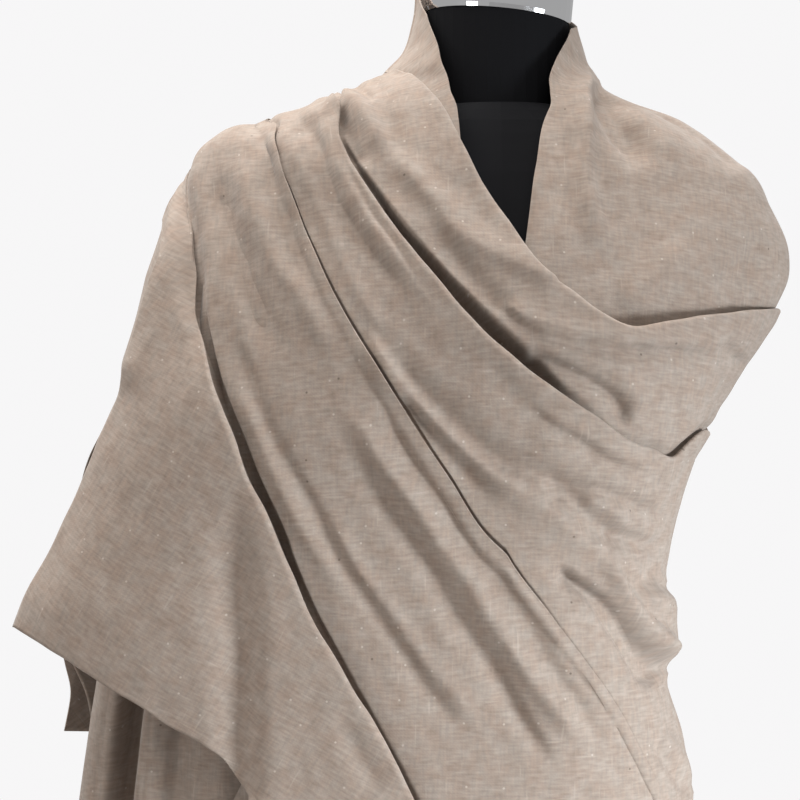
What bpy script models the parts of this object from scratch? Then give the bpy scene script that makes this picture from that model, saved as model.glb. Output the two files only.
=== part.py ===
"""A pashmina shawl wound round a limbless dress form on its stand.

Metres, +Z up. The form faces -Y, and the origin is the middle of the underside of the
stand's base. The shawl is one cloth, built as one thin wall for each stretch that shows.
Every stretch lies on a common guide surface, given by rings round the form, and stands
off it by its own lift, so that the layers stay apart.
"""
import math
from collections import namedtuple

import bmesh
import bpy
from mathutils import Vector

# ---- driving sizes -------------------------------------------------------------------
WALL = 0.0015            # thickness of the cloth wall
SEAM = 0.0003            # gap between two stretches, and between resting pieces
MM = 0.001
HEM_Z = 0.735            # height of the lower edge of the wound cloth
RIDGE = 90.0             # turn, in degrees, of both shoulder ridges

NECK_Z = 1.400           # height of the seam between torso and neck
NECK_RADIUS = 0.0560
NECK_TOP_Z = 1.4712      # at the middle of the neck
NECK_TILT = 5.4          # degrees that the neck's top falls towards +X
CAP_HEIGHT = 0.046
TORSO_BOTTOM_Z = 0.680
POLE_RADIUS = 0.0125
BASE_RADIUS = 0.170
BASE_HEIGHT = 0.014

# Front outlines are drawn on the plane y = 0, as seen from this point.
EYE = Vector((-0.076, -1.730, 1.175))

# ---- materials: colour, roughness, metallic --------------------------------------------
WOOL = ("shawl_wool", (0.330, 0.262, 0.212), 0.90, 0.0)
JERSEY = ("black_jersey", (0.012, 0.011, 0.013), 0.80, 0.0)
CHROME = ("polished_chrome", (0.780, 0.780, 0.790), 0.10, 1.0)

# ---- rings -----------------------------------------------------------------------------
# The guide surface of the cloth: how far it reaches each way from the Z axis at height z.
Ring = namedtuple("Ring", "z minus_x plus_x front back square")
CLOTH_RINGS = (
    Ring(1.520, 0.0620, 0.0600, 0.060, 0.066, 2.0),
    Ring(1.490, 0.0630, 0.0600, 0.061, 0.066, 2.0),
    Ring(1.465, 0.0660, 0.0620, 0.062, 0.068, 2.0),
    Ring(1.445, 0.0730, 0.0680, 0.064, 0.072, 2.0),
    Ring(1.430, 0.0860, 0.0740, 0.067, 0.078, 2.0),
    Ring(1.415, 0.1000, 0.0880, 0.071, 0.085, 2.0),
    Ring(1.405, 0.1240, 0.1100, 0.075, 0.090, 2.0),
    Ring(1.395, 0.1480, 0.1390, 0.079, 0.094, 2.1),
    Ring(1.385, 0.1810, 0.1560, 0.084, 0.098, 2.2),
    Ring(1.372, 0.2100, 0.1730, 0.090, 0.102, 2.3),
    Ring(1.350, 0.2300, 0.1970, 0.099, 0.107, 2.4),
    Ring(1.325, 0.2410, 0.2115, 0.108, 0.111, 2.4),
    Ring(1.300, 0.2490, 0.2225, 0.117, 0.114, 2.4),
    Ring(1.270, 0.2545, 0.2235, 0.127, 0.116, 2.4),
    Ring(1.240, 0.2630, 0.2110, 0.135, 0.117, 2.3),
    Ring(1.205, 0.2750, 0.1880, 0.140, 0.116, 2.2),
    Ring(1.170, 0.2890, 0.1670, 0.141, 0.114, 2.2),
    Ring(1.130, 0.3070, 0.1460, 0.138, 0.111, 2.2),
    Ring(1.090, 0.3250, 0.1345, 0.133, 0.108, 2.2),
    Ring(1.050, 0.3450, 0.1250, 0.128, 0.106, 2.2),
    Ring(1.010, 0.3640, 0.1185, 0.125, 0.106, 2.2),
    Ring(0.980, 0.3680, 0.1210, 0.123, 0.107, 2.2),
    Ring(0.940, 0.3520, 0.1310, 0.122, 0.109, 2.2),
    Ring(0.860, 0.3450, 0.1470, 0.125, 0.116, 2.2),
    Ring(0.780, 0.3450, 0.1590, 0.129, 0.122, 2.2),
    Ring(0.720, 0.3450, 0.1630, 0.131, 0.125, 2.2),
)
# The form's own body.
TORSO_RINGS = (
    Ring(1.400, 0.0600, 0.0600, 0.0580, 0.0600, 2.0),
    Ring(1.394, 0.1100, 0.1100, 0.0630, 0.0670, 2.0),
    Ring(1.383, 0.1520, 0.1520, 0.0700, 0.0750, 2.1),
    Ring(1.370, 0.1710, 0.1710, 0.0760, 0.0830, 2.2),
    Ring(1.350, 0.1915, 0.1915, 0.0850, 0.0910, 2.3),
    Ring(1.320, 0.1980, 0.1980, 0.0970, 0.0990, 2.4),
    Ring(1.280, 0.1930, 0.1930, 0.1120, 0.1040, 2.4),
    Ring(1.240, 0.1780, 0.1780, 0.1220, 0.1030, 2.4),
    Ring(1.200, 0.1620, 0.1620, 0.1270, 0.0990, 2.3),
    Ring(1.150, 0.1430, 0.1430, 0.1220, 0.0930, 2.2),
    Ring(1.090, 0.1240, 0.1240, 0.1060, 0.0860, 2.2),
    Ring(1.030, 0.1120, 0.1120, 0.0950, 0.0820, 2.2),
    Ring(0.960, 0.1190, 0.1190, 0.0980, 0.0900, 2.2),
    Ring(0.880, 0.1360, 0.1360, 0.1080, 0.1040, 2.2),
    Ring(0.820, 0.1480, 0.1480, 0.1130, 0.1130, 2.2),
    Ring(0.760, 0.1540, 0.1540, 0.1130, 0.1150, 2.2),
    Ring(0.700, 0.1520, 0.1520, 0.1090, 0.1100, 2.2),
    Ring(TORSO_BOTTOM_Z, 0.1460, 0.1460, 0.1030, 0.1040, 2.2),
)

# ---- outlines of the stretches, as seen from the front (x, z) --------------------------
Seen = namedtuple("Seen", "x z")
Round = namedtuple("Round", "turn z")    # a point of a route that goes on round the side

NECK_EDGE = (
    Seen(-0.056, 1.416), Seen(-0.040, 1.394), Seen(-0.028, 1.370), Seen(-0.016, 1.344),
    Seen(0.002, 1.317), Seen(0.020, 1.292), Seen(0.037, 1.271), Seen(0.055, 1.257),
    Seen(0.076, 1.241), Seen(0.104, 1.230), Seen(0.131, 1.233), Seen(0.173, 1.239),
    Seen(0.207, 1.242),
)
DEEP_EDGE = (
    Seen(-0.130, 1.398), Seen(-0.125, 1.382), Seen(-0.114, 1.373), Seen(-0.105, 1.353),
    Seen(-0.081, 1.320), Seen(-0.049, 1.278), Seen(-0.018, 1.245), Seen(0.012, 1.214),
    Seen(0.034, 1.196), Seen(0.055, 1.176), Seen(0.080, 1.161), Seen(0.104, 1.144),
    Seen(0.123, 1.136), Seen(0.149, 1.130),
)
THIN_EDGE = (
    Seen(-0.175, 1.384), Seen(-0.172, 1.371), Seen(-0.163, 1.344), Seen(-0.146, 1.302),
    Seen(-0.127, 1.261), Seen(-0.110, 1.229), Seen(-0.090, 1.198), Seen(-0.067, 1.161),
    Seen(-0.036, 1.114), Seen(0.004, 1.058), Seen(0.044, 1.004), Seen(0.068, 0.973),
    Seen(0.096, 0.934), Seen(0.120, 0.890),
)
THROW_EDGE = (
    Seen(-0.242, 1.327), Seen(-0.240, 1.307), Seen(-0.239, 1.282), Seen(-0.230, 1.239),
    Seen(-0.220, 1.205), Seen(-0.214, 1.175), Seen(-0.197, 1.129), Seen(-0.177, 1.088),
    Seen(-0.153, 1.036), Seen(-0.131, 0.996), Seen(-0.109, 0.952), Seen(-0.076, 0.897),
    Seen(-0.065, 0.863), Seen(-0.037, 0.781), Seen(-0.022, HEM_Z),
)
THROW_SELVEDGE = (
    Seen(-0.258, 1.313), Seen(-0.260, 1.286), Seen(-0.266, 1.268), Seen(-0.280, 1.221),
    Seen(-0.297, 1.175), Seen(-0.312, 1.142), Seen(-0.332, 1.096), Seen(-0.354, 1.050),
    Seen(-0.378, 0.998),
)
THROW_CORNER = Seen(-0.037, 0.781)       # where the throw's rolled edge meets its end
THROW_DROP = 0.048       # how much lower the end hangs past the fold in its middle
V_EDGE_PLUS_X = (
    Seen(0.058, 1.465), Seen(0.051, 1.450), Seen(0.041, 1.420), Seen(0.036, 1.392),
    Seen(0.030, 1.358), Seen(0.025, 1.322), Seen(0.021, 1.292), Seen(0.016, 1.261),
    Seen(0.013, 1.230),
)
V_EDGE_MINUS_X = (
    Seen(-0.056, 1.476), Seen(-0.040, 1.430), Seen(-0.030, 1.392), Seen(-0.027, 1.366),
    Seen(-0.024, 1.339), Seen(-0.021, 1.316),
)

# ---- lifts off the guide, in millimetres, along each wrapped band ----------------------
# u runs from the shoulder ridge at -X to the far end, low is the lift of the edge that
# lies under the next band, high that of the rolled edge, roll is its radius, and under
# is how far the band goes on below the one that lies over it.
Lift = namedtuple("Lift", "u low high roll under")
UPPER_LIFTS = (
    Lift(0.00, 6.0, 12.0, 1.5, 12.0), Lift(0.15, 5.0, 13.0, 3.5, 20.0),
    Lift(0.40, 5.0, 17.0, 6.0, 28.0), Lift(0.58, 5.0, 22.0, 8.0, 28.0),
    Lift(0.76, 5.0, 17.0, 6.0, 28.0), Lift(0.88, 5.0, 10.0, 2.5, 28.0),
    Lift(1.00, 4.0, 9.5, 1.5, 28.0),
)
MIDDLE_LIFTS = (
    Lift(0.00, 6.0, 12.0, 1.5, 12.0), Lift(0.15, 5.0, 16.0, 3.5, 20.0),
    Lift(0.35, 5.0, 20.0, 5.5, 28.0), Lift(0.62, 5.0, 20.0, 5.0, 28.0),
    Lift(0.76, 5.0, 15.0, 2.5, 28.0), Lift(0.88, 5.0, 13.0, 2.0, 0.0),
    Lift(1.00, 4.0, 11.5, 1.5, 0.0),
)
LOWER_LIFTS = (
    Lift(0.00, 6.0, 12.0, 1.5, 12.0), Lift(0.12, 5.0, 13.5, 2.5, 28.0),
    Lift(0.50, 5.0, 13.5, 2.5, 40.0), Lift(0.80, 5.0, 13.0, 2.5, 60.0),
    Lift(0.94, 5.0, 12.5, 1.8, 100.0), Lift(1.00, 5.0, 12.5, 1.2, 120.0),
)
THROW_LIFTS = (
    Lift(0.00, 14.0, 14.0, 1.5, 0.0), Lift(0.20, 18.0, 18.5, 4.5, 0.0),
    Lift(1.00, 20.0, 18.5, 4.5, 0.0),
)

# The hanging end: how far its side reaches, drawn in under the throw, and its folds in mm.
Side = namedtuple("Side", "z minus_x")
UNDER_SIDE = (
    Side(0.735, 0.3400), Side(0.863, 0.3270), Side(0.918, 0.3200), Side(0.955, 0.3140),
    Side(1.050, 0.2985), Side(1.170, 0.2790), Side(1.260, 0.2545), Side(1.300, 0.2455),
    Side(1.345, 0.2320),
)
Fold = namedtuple("Fold", "turn lift")
UNDER_FOLDS = (
    Fold(-118.0, -2.0), Fold(-90.0, -2.0), Fold(-75.0, -0.5), Fold(-67.0, -2.0),
    Fold(-62.0, -9.0), Fold(-58.5, -26.0), Fold(-55.5, -8.0), Fold(-52.5, -1.0),
    Fold(-49.5, -6.0), Fold(-47.0, -12.0), Fold(-43.0, -4.0), Fold(-39.0, -3.0),
    Fold(-35.0, -9.0), Fold(-30.0, -4.0), Fold(-25.0, -9.0), Fold(-22.0, -7.0),
)

RISE_WIDTH = 0.090       # a band rises to its rolled edge within this distance
HOOK_STEPS = 3           # faces round a rolled edge
HOOK_TAIL = 0.005        # flat part under a rolled edge
ROUTE_SCALE = 0.003      # metres of route for a degree of turn


class Smooth:
    """A smooth curve through rows of numbers, read at any key between the first and last."""

    def __init__(self, keys, rows):
        self.keys = list(keys)
        self.rows = [tuple(row) for row in rows]
        spans = [b - a for a, b in zip(self.keys, self.keys[1:])]
        steps = [[(q - p) / span for p, q in zip(a, b)]
                 for a, b, span in zip(self.rows, self.rows[1:], spans)]
        self.slopes = [steps[0]]
        for before, after, short, long in zip(steps, steps[1:], spans, spans[1:]):
            self.slopes.append([(p * long + q * short) / (short + long)
                                for p, q in zip(before, after)])
        self.slopes.append(steps[-1])

    def __call__(self, key):
        index = 0
        while index < len(self.keys) - 2 and key > self.keys[index + 1]:
            index += 1
        span = self.keys[index + 1] - self.keys[index]
        t = min(1.0, max(0.0, (key - self.keys[index]) / span))
        weights = (2 * t**3 - 3 * t**2 + 1, span * (t**3 - 2 * t**2 + t),
                   3 * t**2 - 2 * t**3, span * (t**3 - t**2))
        return [weights[0] * a + weights[1] * m + weights[2] * b + weights[3] * n
                for a, m, b, n in zip(self.rows[index], self.slopes[index],
                                      self.rows[index + 1], self.slopes[index + 1])]


def ring_table(rings):
    """The rings as one smooth function of height."""
    rising = sorted(rings)
    return Smooth([ring.z for ring in rising], [ring[1:] for ring in rising])


CLOTH = ring_table(CLOTH_RINGS)
TORSO = ring_table(TORSO_RINGS)


def blend(low, high, share):
    return low + (high - low) * share


def ease(value, start, end):
    """0 before start, 1 after end, and smooth between."""
    share = min(1.0, max(0.0, (value - start) / (end - start)))
    return share * share * (3.0 - 2.0 * share)


def ring_point(table, turn, z):
    """The point of a ring at height z, turned from the front (0) towards +X (90)."""
    minus_x, plus_x, front, back, square = table(z)
    across = math.sin(math.radians(turn))
    along = math.cos(math.radians(turn))
    reach = (abs(across) ** square + abs(along) ** square) ** (-1.0 / square)
    side = plus_x if across >= 0 else minus_x
    depth = front if along >= 0 else back
    return Vector((side * reach * across, -depth * reach * along, z))


def ring_normal(table, turn, z):
    """The outward direction of the ring surface."""
    step = 0.5
    round_way = ring_point(table, turn + step, z) - ring_point(table, turn - step, z)
    up_way = ring_point(table, turn, z + MM) - ring_point(table, turn, z - MM)
    return round_way.cross(up_way).normalized()


def on_cloth(turn, z, lift_mm):
    """A point that stands lift_mm off the guide surface."""
    return ring_point(CLOTH, turn, z) + ring_normal(CLOTH, turn, z) * (lift_mm * MM)


def height_off_guide(point):
    """How far a point stands off the guide surface, and the foot below it."""

    def level(at):
        minus_x, plus_x, front, back, square = CLOTH(at.z)
        side = plus_x if at.x >= 0 else minus_x
        depth = front if at.y <= 0 else back
        return (abs(at.x / side) ** square + abs(at.y / depth) ** square) ** (1.0 / square)

    slope = Vector([(level(point + axis) - level(point - axis)) / (2 * MM)
                    for axis in (Vector((MM, 0, 0)), Vector((0, MM, 0)), Vector((0, 0, MM)))])
    height = (level(point) - 1.0) / slope.length
    return height, point - slope.normalized() * height


def seen_to_round(seen, lift_mm):
    """Carries an outline's point along the line of sight to the lifted guide surface."""
    ray = Vector((seen.x, 0.0, seen.z)) - EYE
    shares = [0.88 + 0.002 * step for step in range(66)]
    heights = [height_off_guide(EYE + ray * share)[0] - lift_mm * MM for share in shares]
    hit = next((i for i, height in enumerate(heights) if height <= 0), None)
    if hit is None or hit == 0:
        share = shares[heights.index(min(heights))]
    else:
        above, below = heights[hit - 1], heights[hit]
        share = blend(shares[hit - 1], shares[hit], above / (above - below))
    foot = height_off_guide(EYE + ray * share)[1]
    minus_x, plus_x, front, back, _ = CLOTH(foot.z)
    side = plus_x if foot.x >= 0 else minus_x
    depth = front if foot.y <= 0 else back
    return Round(math.degrees(math.atan2(foot.x / side, -foot.y / depth)), foot.z)


def route(lift_mm, seen, lead=(), tail=()):
    """A smooth route over the guide, from 0 to 1: lead, then the outline, then tail."""
    stops = [*lead, *(seen_to_round(point, lift_mm) for point in seen), *tail]
    keys = [0.0]
    for before, after in zip(stops, stops[1:]):
        keys.append(keys[-1] + math.hypot((after.turn - before.turn) * ROUTE_SCALE,
                                          after.z - before.z))
    return Smooth([key / keys[-1] for key in keys], stops)


NECK_ROUTE = route(16, NECK_EDGE, [Round(-RIDGE, 1.432)],
                   [Round(92, 1.247), Round(108, 1.250), Round(126, 1.252)])
DEEP_ROUTE = route(18, DEEP_EDGE, [Round(-RIDGE, 1.403)], [Round(94, 1.134), Round(126, 1.138)])
THIN_ROUTE = route(13, THIN_EDGE, [Round(-RIDGE, 1.386)], [Round(80, HEM_Z)])
THROW_ROUTE = route(18, THROW_EDGE, [Round(-RIDGE, 1.352)])


# ---- building blocks -------------------------------------------------------------------
def material(finish):
    """The material of a finish, made once."""
    name, colour, roughness, metallic = finish
    if name not in bpy.data.materials:
        made = bpy.data.materials.new(name)
        made.use_nodes = True
        shader = made.node_tree.nodes["Principled BSDF"]
        shader.inputs["Base Color"].default_value = (*colour, 1.0)
        shader.inputs["Roughness"].default_value = roughness
        shader.inputs["Metallic"].default_value = metallic
    return bpy.data.materials[name]


def add_object(name, mesh, finish):
    """Puts a mesh in the object's collection, shaded smooth."""
    made = bpy.data.objects.new(name, mesh)
    bpy.data.collections["shawl_on_dress_form"].objects.link(made)
    mesh.materials.append(material(finish))
    mesh.shade_smooth()
    mesh.set_sharp_from_angle(angle=math.radians(50))
    return made


def cloth_sheet(name, columns, rows, place):
    """A grid whose corners go where place(u, v) says, with the cloth's thickness."""
    mesh = bpy.data.meshes.new(name)
    grid = bmesh.new()
    bmesh.ops.create_grid(grid, x_segments=columns, y_segments=rows, size=0.5)
    for corner in grid.verts:
        u = round((corner.co.x + 0.5) * columns) / columns
        v = round((corner.co.y + 0.5) * rows) / rows
        corner.co = place(u, v)
    grid.to_mesh(mesh)
    grid.free()
    made = add_object(name, mesh, WOOL)
    wall = made.modifiers.new("wall", "SOLIDIFY")
    wall.thickness = WALL
    wall.offset = 0.0
    return made


def rolled(place, main_rows, rows, roll_mm):
    """Adds a rolled edge to place(u, v): past v = 1 the sheet turns under and back."""

    def with_roll(u, row_share):
        row = row_share * rows
        if row <= main_rows:
            return place(u, row / main_rows)
        edge = place(u, 1.0)
        onward = (edge - place(u, 0.97)).normalized()
        round_way = place(min(u + 0.01, 1.0), 1.0) - place(max(u - 0.01, 0.0), 1.0)
        outward = onward.cross(round_way).normalized()
        radius = roll_mm(u) * MM
        angle = math.pi * min(row - main_rows, HOOK_STEPS) / HOOK_STEPS
        point = edge + onward * (radius * math.sin(angle))
        point += outward * (radius * (1.0 - math.cos(angle)))
        if row > main_rows + HOOK_STEPS:
            point -= onward * HOOK_TAIL
        if u == 0.0:
            point.y = edge.y                     # the seam on the ridge stays flat
        return point

    return with_roll


def band(name, lower, upper, lifts, columns, main_rows):
    """A wrapped band between two routes: it goes on under the band below, and its upper
    edge is rolled."""
    lift = Smooth([row.u for row in lifts], [row[1:] for row in lifts])

    def place(u, v):
        low, high, _, under = lift(u)
        bottom = lower(u)
        top = upper(u)
        width = (on_cloth(*top, 0.0) - on_cloth(*bottom, 0.0)).length
        share = blend(-under * MM / width, 1.0, v)
        rise = 1.0 - (1.0 - share) * width / min(width, RISE_WIDTH)
        lifted = blend(low, high, max(0.0, rise) ** 1.3)
        point = on_cloth(blend(bottom[0], top[0], share), blend(bottom[1], top[1], share), lifted)
        if u == 0.0:
            point.y -= SEAM
        return point

    rows = main_rows + HOOK_STEPS + 1
    cloth_sheet(name, columns, rows, rolled(place, main_rows, rows, lambda u: lift(u)[2]))


# ---- the shawl -------------------------------------------------------------------------
def build_wrap():
    """The three bands that cross the chest, from the lowest to the cowl."""
    thin_and_hem = route(13, THIN_EDGE, [Round(-RIDGE, 1.386)],
                         [Round(80, HEM_Z), Round(126, HEM_Z)])
    band("wrap_lower", THROW_ROUTE, THIN_ROUTE, LOWER_LIFTS, 28, 8)
    band("wrap_middle", thin_and_hem, DEEP_ROUTE, MIDDLE_LIFTS, 32, 7)
    band("wrap_upper", DEEP_ROUTE, NECK_ROUTE, UPPER_LIFTS, 30, 6)


def build_throw_panel():
    """The thrown end in front: free selvedge, straight end, free corner, rolled edge."""
    lift = Smooth([row.u for row in THROW_LIFTS], [row[1:] for row in THROW_LIFTS])
    rolled_side = route(18, [*THROW_EDGE[:THROW_EDGE.index(THROW_CORNER) + 1]],
                        [Round(-RIDGE, 1.352)])
    free_side = route(18, THROW_SELVEDGE[1:], [Round(-RIDGE, 1.316)])

    def place(u, v):
        low, high, _, _ = lift(u)
        free = free_side(u)
        inner = rolled_side(u)
        share = blend(0.0, 1.0, v)
        free_x = math.sin(math.radians(free[0]))
        inner_x = math.sin(math.radians(inner[0]))
        turn = math.degrees(math.asin(max(-1.0, blend(free_x, inner_x, share))))
        lower = ease(share, 0.46, 0.60) * (1.0 - ease(share, 0.60, 1.0))    # past the fold
        z = blend(free[1], inner[1], share) - THROW_DROP * lower * ease(u, 0.75, 1.0)
        point = on_cloth(turn, z, blend(low, high, share))
        if u == 0.0:
            point.y -= SEAM
        return point

    main_rows = 9
    rows = main_rows + HOOK_STEPS + 1
    cloth_sheet("throw_panel", 22, rows, rolled(place, main_rows, rows, lambda u: lift(u)[2]))


def build_throw_back():
    """The throw behind the shoulder, from the ridge to its own hem, in soft folds."""
    outer = route(14, (), [Round(-RIDGE, 1.316), Round(-92, 1.270), Round(-95, 1.175),
                           Round(-104, 1.050), Round(-109, 0.970)], [Round(-112, 0.919)])
    inner = route(14, (), [Round(-RIDGE, 1.432), Round(-112, 1.424), Round(-140, 1.395),
                           Round(-152, 1.340), Round(-158, 1.200), Round(-160, 1.000)],
                  [Round(-160, 0.850)])

    inner_lift = Smooth((0.0, 0.12, 0.25, 0.45, 1.0), ((12.0,), (8.0,), (3.7,), (6.0,), (6.5,)))

    def place(u, v):
        start = outer(u)
        end = inner(u)
        fold = 3.0 * math.sin(v * 5.0 * math.pi) * ease(u, 0.1, 0.6)
        laid = blend(14.0, inner_lift(u)[0], ease(v, 0.55, 1.0))
        point = on_cloth(blend(start[0], end[0], v), blend(start[1], end[1], v), laid + fold)
        if u == 0.0:
            point.y += SEAM / 2
        return point

    cloth_sheet("throw_back", 16, 18, place)


def build_shoulder_layer():
    """First layer over the shoulder at +X, from the V opening to the ridge."""
    v_edge = route(0, V_EDGE_PLUS_X)
    ridge = route(0, (), [Round(RIDGE, 1.467), Round(RIDGE, 1.400), Round(RIDGE, 1.300)],
                  [Round(RIDGE, 1.200)])

    def place(u, v):
        start = v_edge(v)
        end = ridge(v)
        z = blend(start[1], end[1], u)
        beyond = 32.0 * ease(1.330 - end[1], 0.0, 0.035)    # goes on under the back
        turn = blend(start[0], end[0] + beyond, u)
        dip = -3.0 * ease(turn, 82.0, 89.0) * ease(1.375 - z, 0.0, 0.025)
        point = on_cloth(turn, z, dip)
        if u == 1.0 and beyond == 0.0:
            point.y -= SEAM / 2
        return point

    cloth_sheet("shoulder_layer", 14, 20, place)


def strip_ends():
    """The two sides of the first layer at -X: the ridge and the edge of the V opening."""
    ridge = route(0, (), [Round(-RIDGE, 1.497), Round(-RIDGE, 1.440), Round(-RIDGE, 1.390)],
                  [Round(-RIDGE, 1.345)])
    return ridge, route(0, V_EDGE_MINUS_X)


def build_neck_strip():
    """First layer beside the neck at -X, from the ridge to the V opening."""
    ridge, v_edge = strip_ends()

    def place(u, v):
        start = ridge(v)
        end = v_edge(v)
        point = on_cloth(blend(start[0], end[0], u), blend(start[1], end[1], u), 0.0)
        if u == 0.0:
            point.y -= SEAM / 2
        return point

    cloth_sheet("neck_strip", 12, 12, place)


def build_under_end():
    """The first end of the shawl: tube folds in front, then round the side into the back."""
    ridge, v_edge = strip_ends()
    column_turn = Smooth((0.0, 0.18, 0.27, 0.73, 1.0), ((-118,), (-76,), (-66,), (-46,), (-22,)))
    tubes = Smooth([fold.turn for fold in UNDER_FOLDS], [fold[1:] for fold in UNDER_FOLDS])
    reach = Smooth([side.z for side in UNDER_SIDE], [side[1:] for side in UNDER_SIDE])

    def place(u, v):
        turn = column_turn(u)[0]
        share = max(0.0, (turn + RIDGE) / (v_edge(1.0)[0] + RIDGE))
        z = blend(blend(ridge(1.0)[1], v_edge(1.0)[1], share), HEM_Z + 0.005, v)
        hang = ease(v, 0.0, 0.55)
        side = ease(-turn, 76.0, 90.0)
        inside_back = -3.0 - 8.0 * ease(-turn, 91.0, 108.0)
        point = on_cloth(turn, z, blend(hang * tubes(turn)[0], inside_back, side))
        point.x *= blend(1.0, reach(z)[0] / CLOTH(z)[0], ease(v, 0.0, 0.08))
        if v == 0.0:
            point.z -= 2 * SEAM
        return point

    cloth_sheet("under_end", 45, 12, place)


def build_back_fall():
    """First layer behind: the collar at the back of the neck, the back and the hem."""
    collar = Smooth((0.0, 0.25, 0.5, 0.75, 1.0),
                    ((1.467,), (1.486,), (1.497,), (1.500,), (1.497,)))
    drop = Smooth((0.0, 0.06, 0.16, 0.30, 1.0), ((0.0,), (0.05,), (0.13,), (0.26,), (1.0,)))

    def place(u, v):
        z = blend(collar(u)[0], HEM_Z, drop(v)[0])
        start = RIDGE + 20.0 * ease(1.335 - z, 0.0, 0.050)
        free = ease(1.315 - z, 0.0, 0.035)             # the +X side is free below the ridge
        end = 360.0 - RIDGE - 6.0 * ease(1.345 - z, 0.0, 0.060) - 18.0 * ease(1.120 - z, 0.0, 0.140)
        turn = blend(start, end, u)
        folds = 2.5 * math.sin(u * 9.0 * math.pi) * ease(1.250 - z, 0.0, 0.300)
        lift = 17.0 * free * (1.0 - ease(turn, 122.0, 165.0)) + folds * ease(u, 0.2, 0.4)
        point = on_cloth(turn, z, lift)
        if (u == 0.0 and start == RIDGE) or u == 1.0:
            point.y += SEAM / 2
        return point

    cloth_sheet("back_fall", 26, 22, place)


# ---- the dress form --------------------------------------------------------------------
def build_torso():
    """The form's body: rings joined into one closed shape, flat at both ends."""
    around, rising = 36, 22
    heights = Smooth((0.0, 0.06, 0.14, 0.30, 0.60, 0.92, 1.0),
                     ((NECK_Z,), (1.391,), (1.374,), (1.310,), (1.060,), (0.735,),
                      (TORSO_BOTTOM_Z,)))
    mesh = bpy.data.meshes.new("form_torso")
    body = bmesh.new()
    rings = []
    for step in range(rising + 1):
        z = heights(step / rising)[0]
        rings.append([body.verts.new(ring_point(TORSO, 360.0 * k / around, z))
                      for k in range(around)])
    for upper, lower in zip(rings, rings[1:]):
        for k in range(around):
            after = (k + 1) % around
            body.faces.new((lower[k], lower[after], upper[after], upper[k]))
    body.faces.new(rings[0])
    body.faces.new(reversed(rings[-1]))
    bmesh.ops.recalc_face_normals(body, faces=body.faces)
    body.to_mesh(mesh)
    body.free()
    add_object("form_torso", mesh, JERSEY)


def build_neck():
    """The neck: a short column whose top is cut aslant."""
    mesh = bpy.data.meshes.new("form_neck")
    neck = bmesh.new()
    bmesh.ops.create_cone(neck, cap_ends=True, segments=36, radius1=NECK_RADIUS,
                          radius2=NECK_RADIUS, depth=1.0)
    fall = math.tan(math.radians(NECK_TILT))
    for corner in neck.verts:
        top = NECK_TOP_Z - corner.co.x * fall
        corner.co.z = top if corner.co.z > 0 else NECK_Z + SEAM
    neck.to_mesh(mesh)
    neck.free()
    add_object("form_neck", mesh, JERSEY)


def turned(name, profile, steps, finish):
    """A profile of (radius, height), top to bottom, turned round the Z axis."""
    mesh = bpy.data.meshes.new(name)
    outline = bmesh.new()
    corners = [outline.verts.new((radius, 0.0, height)) for radius, height in profile]
    for before, after in zip(corners, corners[1:]):
        outline.edges.new((before, after))
    outline.to_mesh(mesh)
    outline.free()
    made = add_object(name, mesh, finish)
    screw = made.modifiers.new("turn", "SCREW")
    screw.steps = screw.render_steps = steps
    screw.use_merge_vertices = True
    screw.merge_threshold = 0.00005
    screw.use_smooth_shade = True
    return made


def build_cap():
    """The chrome cap: a straight band with a domed top, set on the neck's slant."""
    radius = NECK_RADIUS + 0.0015
    dome = [(radius * math.cos(math.radians(angle)),
             CAP_HEIGHT - 0.016 + 0.016 * math.sin(math.radians(angle)))
            for angle in (90, 70, 50, 30, 15, 0)]
    dome[0] = (0.0, CAP_HEIGHT)
    cap = turned("neck_cap", [*dome, (radius, 0.003), (radius - 0.001, 0.0), (0.0, 0.0)],
                 40, CHROME)
    cap.rotation_euler = (0.0, math.radians(NECK_TILT), 0.0)
    cap.location = (0.0, 0.0, NECK_TOP_Z + SEAM)


def build_stand():
    """The pole under the torso and the round base."""
    base_top = [(0.0, BASE_HEIGHT), (POLE_RADIUS + 0.010, BASE_HEIGHT),
                (BASE_RADIUS - 0.020, BASE_HEIGHT - 0.003), (BASE_RADIUS - 0.004, 0.008),
                (BASE_RADIUS, 0.004), (BASE_RADIUS, 0.0), (0.0, 0.0)]
    turned("stand_base", base_top, 48, CHROME)
    top = TORSO_BOTTOM_Z - SEAM
    foot = BASE_HEIGHT + SEAM
    turned("stand_pole", [(0.0, top), (POLE_RADIUS, top), (POLE_RADIUS, foot), (0.0, foot)],
           24, CHROME)


def main():
    for old in list(bpy.data.objects):
        bpy.data.objects.remove(old)
    home = bpy.data.collections.new("shawl_on_dress_form")
    bpy.context.scene.collection.children.link(home)
    build_stand()
    build_torso()
    build_neck()
    build_cap()
    build_neck_strip()
    build_shoulder_layer()
    build_back_fall()
    build_under_end()
    build_wrap()
    build_throw_panel()
    build_throw_back()


main()
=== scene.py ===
import math

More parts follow.
